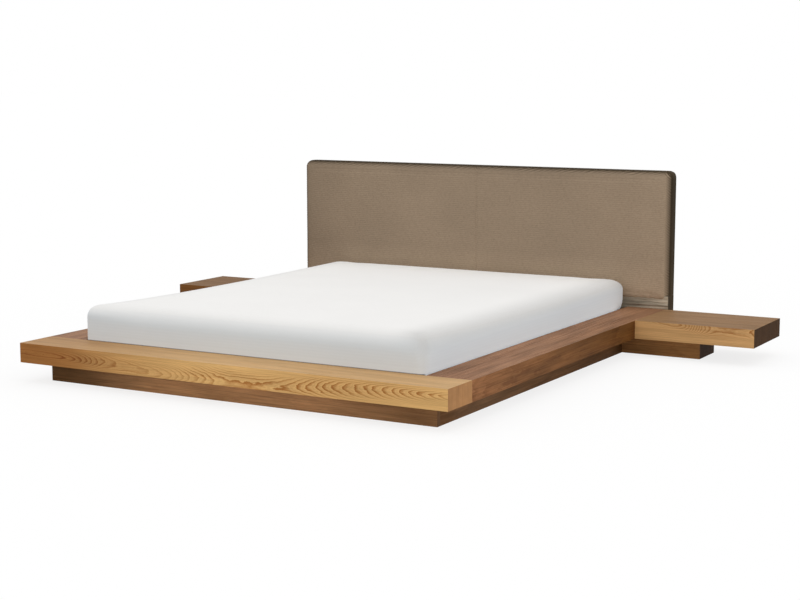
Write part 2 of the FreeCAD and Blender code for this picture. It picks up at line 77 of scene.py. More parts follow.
def linear_colour(hex_code: str) -> tuple[float, float, float, float]:
    """Turn an sRGB hex value into the linear colour that a shader socket takes.

    Args:
        hex_code: A colour as "#rrggbb".

    Returns:
        Linear red, green and blue, and an alpha of 1.
    """
    shares = [int(hex_code[start:start + 2], 16) / 255 for start in (1, 3, 5)]
    linear = [share / 12.92 if share <= 0.04045 else ((share + 0.055) / 1.055) ** 2.4 for share in shares]
    return (linear[0], linear[1], linear[2], 1.0)


def add_node(tree: bpy.types.NodeTree, kind: str, *feeds: Feed, **named: object) -> bpy.types.Node:
    """Add one shader node with its settings and links.

    Args:
        tree: The tree that gets the node.
        kind: The node's type without its "ShaderNode" prefix, or an operation of the maths node in capitals.
        *feeds: What goes into the inputs in use, in their order: a node, an output socket, a constant, or a
            colour as "#rrggbb".
        **named: What goes into the input of this name, which has a capital, or a setting of the node. The
            setting curve gives the points of a float curve.

    Returns:
        The new node.
    """
    if kind.isupper():
        kind, named = "Math", {"operation": kind, **named}
    node = tree.nodes.new("ShaderNode" + kind)
    for name, value in named.items():
        if name == "curve":
            points = node.mapping.curves[0].points
            for spot in value[2:]:
                points.new(*spot)
            for point, spot in zip(points, value):
                point.location = spot
            node.mapping.update()
        elif name[0].islower():
            setattr(node, name, value)
    in_use = [socket for socket in node.inputs if socket.enabled]
    by_name = [(node.inputs[name], feed) for name, feed in named.items() if name[0].isupper()]
    for socket, feed in [*zip(in_use, feeds), *by_name]:
        if isinstance(feed, bpy.types.Node):
            feed = next(output for output in feed.outputs if output.enabled)
        if isinstance(feed, bpy.types.NodeSocket):
            tree.links.new(feed, socket)
        else:
            socket.default_value = linear_colour(feed) if isinstance(feed, str) else feed
    return node


def cleared(owner: bpy.types.Material | bpy.types.World) -> AddNode:
    """Clear the nodes of a material or of the world.

    Args:
        owner: The material or the world.

    Returns:
        The function that adds a node to it.
    """
    owner.use_nodes = True
    owner.node_tree.nodes.clear()
    return partial(add_node, owner.node_tree)


class Finish:
    """A real material and how its surface was made, which its name says."""

    name: str

    def material(self) -> bpy.types.Material:
        """Build the material.

        Returns:
            The material with all its nodes.
        """
        made = bpy.data.materials.new(self.name)
        add = cleared(made)
        add("OutputMaterial", add("BsdfPrincipled", **self.surface(add)))
        return made

    def surface(self, add: AddNode) -> dict[str, Feed]:
        """Build the pattern.

        Args:
            add: Adds a node to the material.

        Returns:
            What goes into each input of the surface shader.
        """
        raise NotImplementedError


class Grain(Enum):
    """The part's axes along the fibres, across them, and the third one."""

    ACROSS_BED = ("X", "Y", "Z")
    ALONG_BED = ("Y", "X", "Z")
    UPRIGHT = ("Z", "Y", "X")

    def split(self, vector: bpy.types.NodeSocket, add: AddNode) -> list[bpy.types.NodeSocket]:
        """Split a place or a direction by the way the fibres run.

        Args:
            vector: The place or direction.
            add: Adds a node to the material.

        Returns:
            Its shares along the fibres, across them and on the third axis.
        """
        parts = add("SeparateXYZ", vector)
        return [parts.outputs[axis] for axis in self.value]


@dataclass(frozen=True)
class Heart:
    """The line of the tree's heart beside a veneered face, which sets where the figure arches.

    Args:
        face: Place of the figured face across the fibres, in metres.
        spots: Places along the fibres in metres, each with the heart's depth in mm and its height in metres.
    """

    face: float
    spots: tuple[Triple, ...]

    def curve(self, column: int, top: float) -> list[tuple[float, float]]:
        """One column of the spots as curve points from 0 to 1.

        Args:
            column: 1 for the depth, 2 for the height.
            top: The value that the curve's 1 stands for.

        Returns:
            The points, spread from 0 to 1 along the fibres.
        """
        start, end = self.spots[0][0], self.spots[-1][0]
        return [((spot[0] - start) / (end - start), spot[column] / top) for spot in self.spots]


# How far a face turns to an axis before its own tone, with its painted light and shade, starts, and when it
# is whole
FACE_TURN = (0.55, 0.8)
# How the tone deepens through a year's ring, and the number, range and strength of the finer lines in it
YEAR_RING = ((0.0, 0.0), (0.5, 0.16), (0.8, 0.9), (0.88, 1.0), (0.95, 0.5), (1.0, 0.0))
FINE_RINGS, FINE_RANGE = 3.0, (0.35, 1.0, 0.0, 0.3)
# How far the rings bend and ripple, in ring widths, and the size of bends, ripples, patches and clouds
BEND_RINGS, RIPPLE_RINGS = 2.4, 0.9
BEND_MM, RIPPLE_MM, PATCH_MM, CLOUD_MM = 38.4615, 14.2857, 58.8235, 45.4545
# Real fibre streaks are finer than this. They are drawn as coarse as they need to show
FIBRE_MM = 4.7619
# Width over length of the bends, the ripples and the fibre streaks, which are long along the fibres
BEND_SLIM, RIPPLE_SLIM, FIBRE_SLIM = 0.16, 0.4, 0.018
# How the figure weakens from the tips of the arches to their straight sides, and from patch to patch
TIP_RANGE, PATCH_RANGE = (0.2, 0.65, 1.0, 0.3), (0.35, 0.6, 0.5, 1.0)
# The range of noise that makes the streaks, and how far streaks and clouds lighten and darken the leaf
FIBRE_SPAN, FIBRE_TONES, CLOUD_TONES = (0.35, 0.7), (0.07, -0.1), (-0.07, 0.06)
# The lacquer's roughness, the strength and depth of the pores under it, and the rings' share in them
LACQUER_ROUGHNESS = (0.5, 0.63)
PORE_STRENGTH, PORE_MM, RING_RELIEF = 0.12, 0.4, 0.6


@dataclass(frozen=True)
class Veneer(Finish):
    """Sliced veneer on a hollow core, sanded, stained and lacquered to a satin.

    It gives the eye growth rings cut into arches or straight lines, long fibre streaks, slow changes of
    tone and a soft reflection. Each face has its own base tone: partly its own veneer, partly painted light
    and shade for how light falls on that side.

    Args:
        name: The material's name.
        grain: The way the fibres run.
        face_leaf_and_light: Tone of the faces across the fibres, such as a rail's front, with painted light
            and shade for how light falls on them.
        flat_leaf_and_light: Tone of the faces above and below, with painted light and shade.
        end_leaf_and_shade: Tone of the faces at the fibres' ends: darker end grain with painted shade.
        ring_stain: What the late wood multiplies the tone by.
        heart: The line of the tree's heart.
        ring_mm: Growth ring, as wide as it needs to show in the render.
        face_figure: How strongly the rings show on the faces across the fibres.
        flat_figure: The same above and below.
        stain_and_shade: What a browner stretch multiplies the tone by: partly the veneer's own tone, partly
            painted shade where light falls off along the part.
        stain_and_shade_curve: How much of that stain and painted shade there is from the first spot of the
            heart to its last.
        streaks: How strongly the fibre streaks and the slow changes of tone show.
        flat_stain_and_shade: The share of the stain and painted shade that shows above and below.
        shine: How strongly the lacquer reflects, 0.5 for a full gloss coat.
    """

    name: str
    grain: Grain
    face_leaf_and_light: str
    flat_leaf_and_light: str
    end_leaf_and_shade: str
    ring_stain: str
    heart: Heart
    ring_mm: float
    face_figure: float
    flat_figure: float
    stain_and_shade: str
    stain_and_shade_curve: tuple[tuple[float, float], ...]
    streaks: float
    flat_stain_and_shade: float = 0.35
    shine: float = 0.12

    def surface(self, add: AddNode) -> dict[str, Feed]:
        """Build the rings, the streaks and the tones of the leaves.

        Args:
            add: Adds a node to the material.

        Returns:
            What goes into each input of the surface shader.
        """
        along, across, through = self.grain.split(add("TexCoord").outputs["Object"], add)
        end_side, face_side = (
            add("MapRange", add("ABSOLUTE", part), *FACE_TURN)
            for part in self.grain.split(add("NewGeometry").outputs["Normal"], add)[:2])

        # Growth rings: distance from the heart's line, bent a little, in ring widths
        spots = self.heart.spots
        share = add("MapRange", along, spots[0][0], spots[-1][0])
        deepest = max(spot[1] for spot in spots)
        depth = add("FloatCurve", 1.0, share, curve=self.heart.curve(1, deepest))
        rise = add("FloatCurve", 1.0, share, curve=self.heart.curve(2, 1.0))
        from_face = add("SUBTRACT", across, self.heart.face)
        from_heart = add("MULTIPLY_ADD", depth, -deepest * MM, from_face)
        height = add("SUBTRACT", through, rise)
        distance = add("VectorMath", add("CombineXYZ", from_heart, height), operation="LENGTH")
        stretched, shorter, drawn_out = (
            add("CombineXYZ", add("MULTIPLY", along, slim), across, through)
            for slim in (BEND_SLIM, RIPPLE_SLIM, FIBRE_SLIM))
        bend = add("TexNoise", stretched, Scale=1 / (BEND_MM * MM), Detail=2.0, Roughness=0.45)
        ripple = add("TexNoise", shorter, Scale=1 / (RIPPLE_MM * MM), Detail=3.0, Roughness=0.6)
        bent = add("MULTIPLY_ADD", bend, BEND_RINGS * self.ring_mm * MM, distance)
        bent = add("MULTIPLY_ADD", ripple, RIPPLE_RINGS * self.ring_mm * MM, bent)
        rings = add("DIVIDE", bent, self.ring_mm * MM)
        late_wood = add("FloatCurve", 1.0, add("FRACT", rings), curve=YEAR_RING)
        fine_wood = add("MapRange", add("FRACT", add("MULTIPLY", rings, FINE_RINGS)), *FINE_RANGE)
        ring_tone = add("ADD", late_wood, fine_wood, use_clamp=True)

        # The rings show most at the tips of the arches, unevenly, and least where they run straight
        lean = add("ABSOLUTE", add("DIVIDE", height, distance))
        patch = add("TexNoise", stretched, Scale=1 / (PATCH_MM * MM), Detail=1.0)
        for part in (add("MapRange", face_side, 0.0, 1.0, self.flat_figure, self.face_figure),
                     add("MapRange", lean, *TIP_RANGE), add("MapRange", patch, *PATCH_RANGE),
                     add("SUBTRACT", 1.0, end_side)):
            ring_tone = add("MULTIPLY", ring_tone, part)

        # Fibre streaks, upright on the end leaves, and slow changes of tone
        upright = add("CombineXYZ", add("MULTIPLY", through, FIBRE_SLIM), across, along)
        fibre_place = add("Mix", end_side, drawn_out, upright, data_type="VECTOR")
        fibre = add("TexNoise", fibre_place, Scale=1 / (FIBRE_MM * MM), Detail=4.0, Roughness=0.6)
        cloud = add("TexNoise", stretched, Scale=1 / (CLOUD_MM * MM), Detail=3.0)
        fibre_tone, cloud_tone = (
            add("MapRange", pattern, *span, *(1 + change * self.streaks for change in changes))
            for pattern, span, changes in ((fibre, FIBRE_SPAN, FIBRE_TONES),
                                           (cloud, NOISE_SPAN, CLOUD_TONES)))

        # A browner stretch along the part: partly the veneer's own tone, partly painted shade where light
        # falls off
        stained = add("MULTIPLY", add("FloatCurve", 1.0, share, curve=self.stain_and_shade_curve),
                      add("MapRange", face_side, 0.0, 1.0, self.flat_stain_and_shade, 1.0))
        # Each face's base tone holds painted light and shade for how light falls on that side
        leaf_and_light: Feed = self.flat_leaf_and_light
        layers = ((face_side, self.face_leaf_and_light, "MIX"), (end_side, self.end_leaf_and_shade, "MIX"),
                  (stained, self.stain_and_shade, "MULTIPLY"), (ring_tone, self.ring_stain, "MULTIPLY"))
        for amount, tone, blend in layers:
            leaf_and_light = add("Mix", amount, leaf_and_light, tone, data_type="RGBA", blend_type=blend)
        return {
            "Base Color": add("VectorMath", leaf_and_light, add("MULTIPLY", fibre_tone, cloud_tone), operation="SCALE"),
            "Roughness": add("MapRange", fibre, *NOISE_SPAN, *LACQUER_ROUGHNESS),
            "Normal": add("Bump", Height=add("MULTIPLY_ADD", ring_tone, RING_RELIEF, fibre),
                          Strength=PORE_STRENGTH, Distance=PORE_MM * MM),
            "IOR": WOOD_IOR, "Specular IOR Level": self.shine}


# Width over length of the streaks in planed timber, and the size of its clouds
STREAK_SLIM, TIMBER_CLOUD_MM = 0.03, 41.6667
# The shares of streaks and clouds in its tone, and the range that they span
STREAK_SHARE, CLOUD_SHARE, TIMBER_SPAN = 0.7, 0.3, (0.36, 0.66)
# Width of a glue line as a share of a layer, and its strength
GLUE_WIDTH, GLUE_STRENGTH = 0.3, 0.5
PLANED_ROUGHNESS, PLANED_MM = (0.55, 0.75), 0.4


@dataclass(frozen=True)
class PlainTimber(Finish):
    """Planed softwood or laminated hardwood with no lacquer, as on the hidden carcass.

    It gives the eye pale, dry wood with straight streaks and, on laminate, glue lines in its thickness.

    Args:
        name: The material's name.
        grain: The way the fibres run.
        pale: Tone of the early wood.
        dark: Tone of the streaks.
        streak_mm: Width of a streak.
        layer_mm: Thickness of a glued layer, or 0 for solid timber.
    """

    name: str
    grain: Grain
    pale: str
    dark: str
    streak_mm: float
    layer_mm: float = 0.0

    def surface(self, add: AddNode) -> dict[str, Feed]:
        """Build the streaks and the glue lines.

        Args:
            add: Adds a node to the material.

        Returns:
            What goes into each input of the surface shader.
        """
        along, across, through = self.grain.split(add("TexCoord").outputs["Object"], add)
        drawn_out = add("CombineXYZ", add("MULTIPLY", along, STREAK_SLIM), across, through)
        streak = add("TexNoise", drawn_out, Scale=1 / (self.streak_mm * MM), Detail=3.0, Roughness=0.55)
        cloud = add("TexNoise", drawn_out, Scale=1 / (TIMBER_CLOUD_MM * MM), Detail=1.0)
        amount = add("MULTIPLY_ADD", streak, STREAK_SHARE, add("MULTIPLY", cloud, CLOUD_SHARE))
        amount = add("MapRange", amount, *TIMBER_SPAN)
        if self.layer_mm:
            layer = add("PINGPONG", through, self.layer_mm * MM)
            line = add("MapRange", layer, 0.0, GLUE_WIDTH * self.layer_mm * MM, GLUE_STRENGTH, 0.0)
            amount = add("ADD", amount, line, use_clamp=True)
        return {"Base Color": add("Mix", amount, self.pale, self.dark, data_type="RGBA"),
                "Roughness": add("MapRange", streak, 0.0, 1.0, *PLANED_ROUGHNESS),
                "Normal": add("Bump", Height=streak, Strength=0.15, Distance=PLANED_MM * MM),
                "IOR": WOOD_IOR, "Specular IOR Level": 0.3}


class ShadedFaces(Enum):
    """The faces of a soft piece that get a colour of painted shade: the way that stays unshaded, and how far
    its faces turn from that before the painted shade starts and when it is whole."""

    # The headboard's sides, top and underside, and the mattress's sides, get painted shade
    BOXING = ((0.0, 1.0, 0.0), 0.95, 0.45)
    UPRIGHT = ((0.35, -0.25, 1.0), 0.99, 0.35)


@dataclass(frozen=True)
class PaintedShadeBand:
    """A band of painted shade along the outline of a soft piece, darker towards the edge.

    Args:
        axes: The two axes of the outline's plane.
        low: Lowest place of the outline along both, in metres.
        high: Highest place of it.
        width: Width of the band.
        tone: What the outer side of the band multiplies the colour by.
    """

    axes: tuple[str, str]
    low: tuple[float, float]
    high: tuple[float, float]
    width: float
    tone: str

    def nearness(self, add: AddNode, place: bpy.types.Node) -> bpy.types.Node:
        """How near a point lies to the outline: 1 at it, and 0 inside the band.

        Args:
            add: Adds a node to the material.
            place: The point's coordinates.

        Returns:
            The node that gives the share.
        """
        inward = []
        for axis, low, high in zip(self.axes, self.low, self.high):
            inward += [add("SUBTRACT", place.outputs[axis], low), add("SUBTRACT", high, place.outputs[axis])]
        share = add("MapRange", reduce(partial(add, "MINIMUM"), inward), 0.0, self.width, 1.0, 0.0)
        return add("POWER", share, 2.0)


@dataclass(frozen=True)
class PaintedLightFade:
    """Painted light and shade along one axis: a slow change of a textile's tone for how light falls there.

    Args:
        axis: The axis.
        start: Place where the change starts, in metres.
        end: Place where it ends.
        gain: How much lighter the textile is there, as a share of its tone.
    """

    axis: str
    start: float
    end: float
    gain: float


# Size of a textile's clouds, and the contrast of clouds and threads where the slubs show fully
TEXTILE_CLOUD_MM, CLOUD_CONTRAST, THREAD_CONTRAST = 285.714, 0.12, 0.25
# The range of noise that makes a slub, and the share of slubs that shows on the faces with painted shade
SLUB_SPAN, EDGE_SLUBS = (0.42, 0.72), 0.15
# Relief of the threads as a share of the slubs', and how far the roughness goes up and down
THREAD_RELIEF, ROUGHNESS_PLAY = 0.35, 0.06
# Half the blur of the painted shadow line's upper edge in metres, and how far a face turns from the foot end
# to lose it
GAP_SHADOW_BLUR, GAP_SHADOW_TURN = 0.002, (-0.8, -0.5)


@dataclass(frozen=True)
class Cloth(Finish):
    """Woven, knitted or bonded textile.

    It gives the eye small thread shadows, streaks where threads are thicker, and painted shade on its side
    faces.

    Args:
        name: The material's name.
        tone: Base colour.
        slub: Colour of the thicker or darker threads.
        edge: Colour of painted shade on the faces that turn away from the unshaded way.
        shaded_faces: Which faces those are.
        slub_mm: Length and height of a slub.
        slub_share: How strongly the slubs show.
        thread_mm: Thread spacing, drawn as coarse as it needs to show.
        relief_mm: Height of the threads.
        sheen: Weight of the fibre sheen.
        shine: How strongly the fibres reflect, 0.5 for a smooth coat.
        roughness: Roughness of the fibres.
        gap_shadow: Colour of a painted shadow line along the foot end, where the cover meets the rail.
        gap_shadow_top: Height of that line's upper edge, or 0 for none.
        painted_light_fades: Its painted light and shade, as slow changes of tone along an axis.
        shade_bands: Its bands of painted shade along its outline, where it has any.
    """

    name: str
    tone: str
    slub: str
    edge: str
    shaded_faces: ShadedFaces
    slub_mm: tuple[float, float]
    slub_share: float
    thread_mm: float
    relief_mm: float
    sheen: float
    shine: float = 0.15
    roughness: float = 0.9
    gap_shadow: str = "#463b2f"
    gap_shadow_top: float = 0.0
    painted_light_fades: tuple[PaintedLightFade, ...] = ()
    shade_bands: tuple[PaintedShadeBand, ...] = ()

    def surface(self, add: AddNode) -> dict[str, Feed]:
        """Build the threads, the slubs and the changes of tone.

        Args:
            add: Adds a node to the material.

        Returns:
            What goes into each input of the surface shader.
        """
        where = add("TexCoord").outputs["Object"]
        place = add("SeparateXYZ", where)
        turn = math.pi / (self.thread_mm * MM)
        long_mm, high_mm = self.slub_mm
        shortened = (add("MULTIPLY", place.outputs[axis], high_mm / long_mm) for axis in "XY")
        drawn_out = add("CombineXYZ", *shortened, place.outputs["Z"])
        slubs = add("TexNoise", drawn_out, Scale=0.5 / (high_mm * MM), Detail=3.0, Roughness=0.6)
        cloud = add("TexNoise", where, Scale=1 / (TEXTILE_CLOUD_MM * MM), Detail=2.0)
        weave = add("MULTIPLY", *(
            add("SINE", add("VectorMath", where, way, operation="DOT_PRODUCT"))
            for way in ((turn, turn, 0.0), (turn, -turn, turn))))

        facing = add("NewGeometry").outputs["Normal"]
        # Faces turned away from the unshaded way are painted in the shade colour
        unshaded_way, start, end = self.shaded_faces.value
        lean = add("ABSOLUTE", add("VectorMath", facing, unshaded_way, operation="DOT_PRODUCT"))
        away = add("MapRange", lean, start, end)
        # Bands of painted shade darken the textile towards its outline
        layers = [(shade_band.nearness(add, place), shade_band.tone, "MULTIPLY") for shade_band in self.shade_bands]
        layers.append((away, self.edge, "MIX"))
        # A painted shadow line along the foot end, where the cover meets the rail
        if self.gap_shadow_top:
            blur = (self.gap_shadow_top - GAP_SHADOW_BLUR, self.gap_shadow_top + GAP_SHADOW_BLUR)
            lower = add("MapRange", place.outputs["Z"], *blur, 1.0, 0.0)
            foot_end = add("MapRange", add("SeparateXYZ", facing).outputs["Y"], *GAP_SHADOW_TURN, 1.0, 0.0)
            layers.append((add("MULTIPLY", lower, foot_end), self.gap_shadow, "MIX"))
        showing = add("MapRange", away, 0.0, 1.0, self.slub_share, EDGE_SLUBS * self.slub_share)
        layers.append((add("MapRange", slubs, *SLUB_SPAN, 0.0, showing), self.slub, "MIX"))
        base: Feed = self.tone
        for amount, tone, blend in layers:
            base = add("Mix", amount, base, tone, data_type="RGBA", blend_type=blend)

        shades = []
        for pattern, span, contrast in ((weave, (-1.0, 1.0), THREAD_CONTRAST * self.slub_share),
                                        (cloud, NOISE_SPAN, CLOUD_CONTRAST * self.slub_share)):
            shades.append(add("MapRange", pattern, *span, 1 - contrast, 1 + contrast))
        # Painted light and shade: slow changes of tone along an axis
        for painted_fade in self.painted_light_fades:
            shades.append(add("MapRange", place.outputs[painted_fade.axis], painted_fade.start, painted_fade.end, 1.0, 1 + painted_fade.gain))
        shade = reduce(partial(add, "MULTIPLY"), shades)
        return {
            "Base Color": add("VectorMath", base, shade, operation="SCALE"),
            "Roughness": add("MapRange", slubs, 0.0, 1.0, self.roughness - ROUGHNESS_PLAY,
                             self.roughness + ROUGHNESS_PLAY),
            "Normal": add("Bump", Height=add("MULTIPLY_ADD", weave, THREAD_RELIEF, slubs), Strength=0.5,
                          Distance=self.relief_mm * MM),
            "Specular IOR Level": self.shine, "Sheen Weight": self.sheen, "Sheen Roughness": 0.5}


# Size of the clouds in foam, plastic and plating
GRAIN_CLOUD_MM = 71.4286


@dataclass(frozen=True)
class Grained(Finish):
    """Foam, moulded plastic or plated steel: an even material with a fine grain.

    It gives the eye open cells, a moulded texture or a plated spangle over one tone.

    Args:
        name: The material's name.
        tone: Base colour.
        grain_tone: Colour of the grain's hollows or spangles.
        grain_mm: Size of the grain, drawn as coarse as it needs to show.
        relief_mm: Height of the grain.
        roughness: Lowest and highest roughness.
        metallic: 1 for bare or plated metal.
    """

    name: str
    tone: str
    grain_tone: str
    grain_mm: float
    relief_mm: float
    roughness: tuple[float, float]
    metallic: float = 0.0

    def surface(self, add: AddNode) -> dict[str, Feed]:
        """Build the grain.

        Args:
            add: Adds a node to the material.

        Returns:
            What goes into each input of the surface shader.
        """
        where = add("TexCoord").outputs["Object"]
        cells = add("TexVoronoi", where, Scale=1 / (self.grain_mm * MM))
        cloud = add("TexNoise", where, Scale=1 / (GRAIN_CLOUD_MM * MM), Detail=2.0)
        amount = add("MULTIPLY", cells, cloud)
        return {"Base Color": add("Mix", amount, self.tone, self.grain_tone, data_type="RGBA"),
                "Roughness": add("MapRange", cloud, *NOISE_SPAN, *self.roughness),
                "Normal": add("Bump", Height=cells, Strength=0.3, Distance=self.relief_mm * MM),
                "Metallic": self.metallic}


def dress_node(name: str, material: bpy.types.Material) -> None:
    """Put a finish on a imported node.

    Args:
        name: The node's name.
        material: Its finish.
    """
    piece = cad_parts[name]
    if not piece.material_slots:
        piece.data.materials.append(material)
    for slot in piece.material_slots:
        slot.material = material


def corners_of(node: str) -> list[np.ndarray]:
    """The lowest and the highest corner of a node at rest."""
    return [np.array(corner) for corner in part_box(node)]


def ramp(values: np.ndarray, start: float, end: float) -> np.ndarray:
    """Go from 0 at start to 1 at end, and stay there."""
    return np.clip((values - start) / (end - start), 0, 1)


def bell(values: np.ndarray, middle: float | np.ndarray, width: float) -> np.ndarray:
    """Fall off smoothly from 1 at the middle, on both sides."""
    return np.exp(-((values - middle) / width) ** 2)


def lines_along(low: float, high: float, low_round: float, high_round: float, step: float) -> np.ndarray:
    """Places of the mesh lines from one side of a rounded box to the other.

    Args:
        low: The lower side.
        high: The higher side.
        low_round: Radius at the lower side, or 0.
        high_round: Radius at the higher side, or 0.
        step: Widest spacing between the rounds.

    Returns:
        The places in order, closer together in the rounds.
    """
    turn = np.tan(np.linspace(0, math.pi / 4, ROUND_LINES))
    count = max(1, math.ceil((high - high_round - low - low_round) / step))
    middle = np.linspace(low + low_round, high - high_round, count + 1)
    before = low + low_round - low_round * turn[:0:-1] if low_round else np.empty(0)
    after = high - high_round + high_round * turn[1:] if high_round else np.empty(0)
    return np.concatenate([before, middle, after])


def quads_of(number: np.ndarray) -> np.ndarray:
    """The quads of a grid, as rows of four of its point numbers."""
    corners = (number[:-1, :-1], number[1:, :-1], number[1:, 1:], number[:-1, 1:])
    return np.stack(corners, -1).reshape(-1, 4)


def box_skin(low: Triple, high: Triple, low_round: Triple, high_round: Triple, steps: Triple,
             seam: Sequence[float] = ()) -> tuple[np.ndarray, np.ndarray]:
    """The closed skin of a box as quads, with closer mesh lines where it is to be rounded.

    Args:
        low: Lowest corner.
        high: Highest corner.
        low_round: Radius at the lower side of each axis, or 0.
        high_round: Radius at the higher side of each axis, or 0.
        steps: Widest spacing of the mesh lines along each axis.
        seam: Places of more mesh lines across the bed.

    Returns:
        The points, and the faces as rows of four point numbers, with outward normals.
    """
    lines = [lines_along(*sides) for sides in zip(low, high, low_round, high_round, steps)]
    lines[0] = np.unique(np.concatenate([lines[0], seam]))
    counts = [len(places) for places in lines]
    index = np.indices(counts).reshape(3, -1).T
    outside = ((index == 0) | (index == np.array(counts) - 1)).any(1)
    number = np.full(len(index), -1)
    number[outside] = np.arange(outside.sum())
    number = number.reshape(counts)
    points = np.column_stack([lines[axis][index[outside, axis]] for axis in range(3)])
    faces = []
    for axis in range(3):
        for end in (0, counts[axis] - 1):
            quads = quads_of(number.take(end, axis))
            outward = (end > 0) != (axis == 1)
            faces.append(quads if outward else quads[:, ::-1])
    return points, np.concatenate(faces)


def rounded(points: np.ndarray, low: Triple, high: Triple, low_round: Triple | np.ndarray,
            high_round: Triple | np.ndarray, squareness: float | np.ndarray = 2.0) -> np.ndarray:
    """Round the edges of a box skin.

    Args:
        points: The skin's points.
        low: Lowest corner.
        high: Highest corner.
        low_round: Radius at the lower side of each axis, or 0, as one row or one for each point.
        high_round: The same at the higher side.
        squareness: 2 for upright corners as round as the other edges, and more for squarer ones, as one
            value or one for each point.

    Returns:
        The points moved onto the rounds.
    """
    inner = np.clip(points, np.array(low) + low_round, np.array(high) - high_round)
    reach = points - inner
    radius = np.where(reach < 0, low_round, high_round)
    share = np.divide(reach, radius, out=np.zeros_like(reach), where=radius > 0)
    power = np.broadcast_to(squareness, len(points))
    plan = (np.abs(share[:, :2]) ** power[:, None]).sum(1) ** (1 / power)
    length = np.maximum(np.hypot(plan, share[:, 2]), 1.0)
    return inner + radius * share / length[:, None]


def mesh_piece(name: str, points: np.ndarray, faces: np.ndarray, material: bpy.types.Material) -> Piece:
    """Make a smooth-shaded piece from points and faces.

    Args:
        name: The piece's name.
        points: Its points.
        faces: Its faces.
        material: Its finish.

    Returns:
        The piece, linked into the scene.
    """
    mesh = bpy.data.meshes.new(name)
    mesh.from_pydata(points.tolist(), [], faces.tolist())
    mesh.materials.append(material)
    mesh.shade_smooth()
    piece = bpy.data.objects.new(name, mesh)
    bpy.context.scene.collection.objects.link(piece)
    return piece


def rows_of(items: bpy.types.bpy_prop_collection, name: str) -> np.ndarray:
    """Read a vector from each item of a mesh.

    Args:
        items: The mesh's points or their normals.
        name: The vector's name.

    Returns:
        The vectors, one row each.
    """
    flat = np.empty(len(items) * 3)
    items.foreach_get(name, flat)
    return flat.reshape(-1, 3)


def points_of(mesh: bpy.types.Mesh) -> np.ndarray:
    """The places of a mesh's points, one row each."""
    return rows_of(mesh.vertices, "co")


def normals_of(mesh: bpy.types.Mesh) -> np.ndarray:
    """The normals at a mesh's points, one row each."""
    return rows_of(mesh.vertex_normals, "vector")


def place_points(mesh: bpy.types.Mesh, points: np.ndarray) -> None:
    """Move a mesh's points to the places given."""
    mesh.vertices.foreach_set("co", points.ravel())
    mesh.update()


def wander(points: np.ndarray, sizes: Triple, seed: float) -> np.ndarray:
    """Smooth noise from -1 to 1 at each point.

    Args:
        points: The points.
        sizes: Size of the noise along each axis, in metres.
        seed: Shifts the noise, so that uses of it differ.

    Returns:
        One value for each point.
    """
    scaled = points / np.array(sizes) + seed
    return np.array([noise.noise(Vector(place)) for place in scaled])


def swell(piece: Piece, held: np.ndarray, most: float) -> None:
    """Blow a closed skin up by cloth simulation and keep the result in its mesh.

    Args:
        piece: The skin, which starts slightly smaller than it ends.
        held: True for the points that stay in place.
        most: The furthest that a point may move, in metres.
    """
    scene = bpy.context.scene
    piece.vertex_groups.new(name="held").add(np.flatnonzero(held).tolist(), 1.0, "REPLACE")
    cloth = piece.modifiers.new("swelling", "CLOTH")
    cloth.settings.vertex_group_mass = "held"
    cloth.settings.quality = SWELL_QUALITY
    cloth.settings.use_pressure = True
    cloth.settings.uniform_pressure_force = SWELL_PRESSURE
    cloth.settings.effector_weights.gravity = 0.0
    cloth.point_cache.frame_start, cloth.point_cache.frame_end = 1, SWELL_FRAMES
    start = points_of(piece.data)
    for number in range(1, SWELL_FRAMES + 1):
        scene.frame_set(number)
    swelled = points_of(piece.evaluated_get(bpy.context.evaluated_depsgraph_get()).data)
    piece.modifiers.remove(cloth)
    piece.vertex_groups.clear()
    scene.frame_set(1)
    normals = normals_of(piece.data)
    move = swelled - start
    # The filling keeps the skin from drawing in
    move -= normals * np.minimum((move * normals).sum(1), 0)[:, None]
    length = np.maximum(np.linalg.norm(move, axis=1, keepdims=True), 1e-9)
    place_points(piece.data, start + move * most * np.tanh(length / most) / length)


def subdivide(piece: Piece) -> None:
    """Divide a piece's faces once, smoothly, and keep the result in its mesh.

    Args:
        piece: The piece.
    """
    modifier = piece.modifiers.new("finer", "SUBSURF")
    modifier.levels = modifier.render_levels = 1
    finer = bpy.data.meshes.new_from_object(piece.evaluated_get(bpy.context.evaluated_depsgraph_get()))
    piece.modifiers.remove(modifier)
    finer.name = piece.name
    piece.data = finer


def stand_in(piece: Piece, body: str, node: str) -> None:
    """Attach a padded piece to its body, and hide the plain solid that it stands for.

    Args:
        piece: The piece.
        body: The body that it rides on.
        node: The solid.
    """
    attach(piece, body)
    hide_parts(node)


def foam_block(name: str, body: str, node: str, low_round: Triple, high_round: Triple, step: float) -> str:
    """Make a block of foam with cut, rounded edges, eased into the space of its solid.

    Args:
        name: The piece's name.
        body: The body that it rides on.
        node: The solid.
        low_round: Reach of the rounding at the lower side of each axis, or 0.
        high_round: The same at the higher side.
        step: Spacing of the mesh lines on the flat.

    Returns:
        The piece's name.
    """
    low, high = corners_of(node)
    sides = (low + FOAM_EASE, high - FOAM_EASE, low_round, high_round)
    points, faces = box_skin(*sides, (step,) * 3)
    piece = mesh_piece(name, rounded(points, *sides), faces, FOAM.material())
    stand_in(piece, body, node)
    return piece.name


OAK_STAIN = "#b58a5b"
WALNUT_STAIN = "#a5866c"

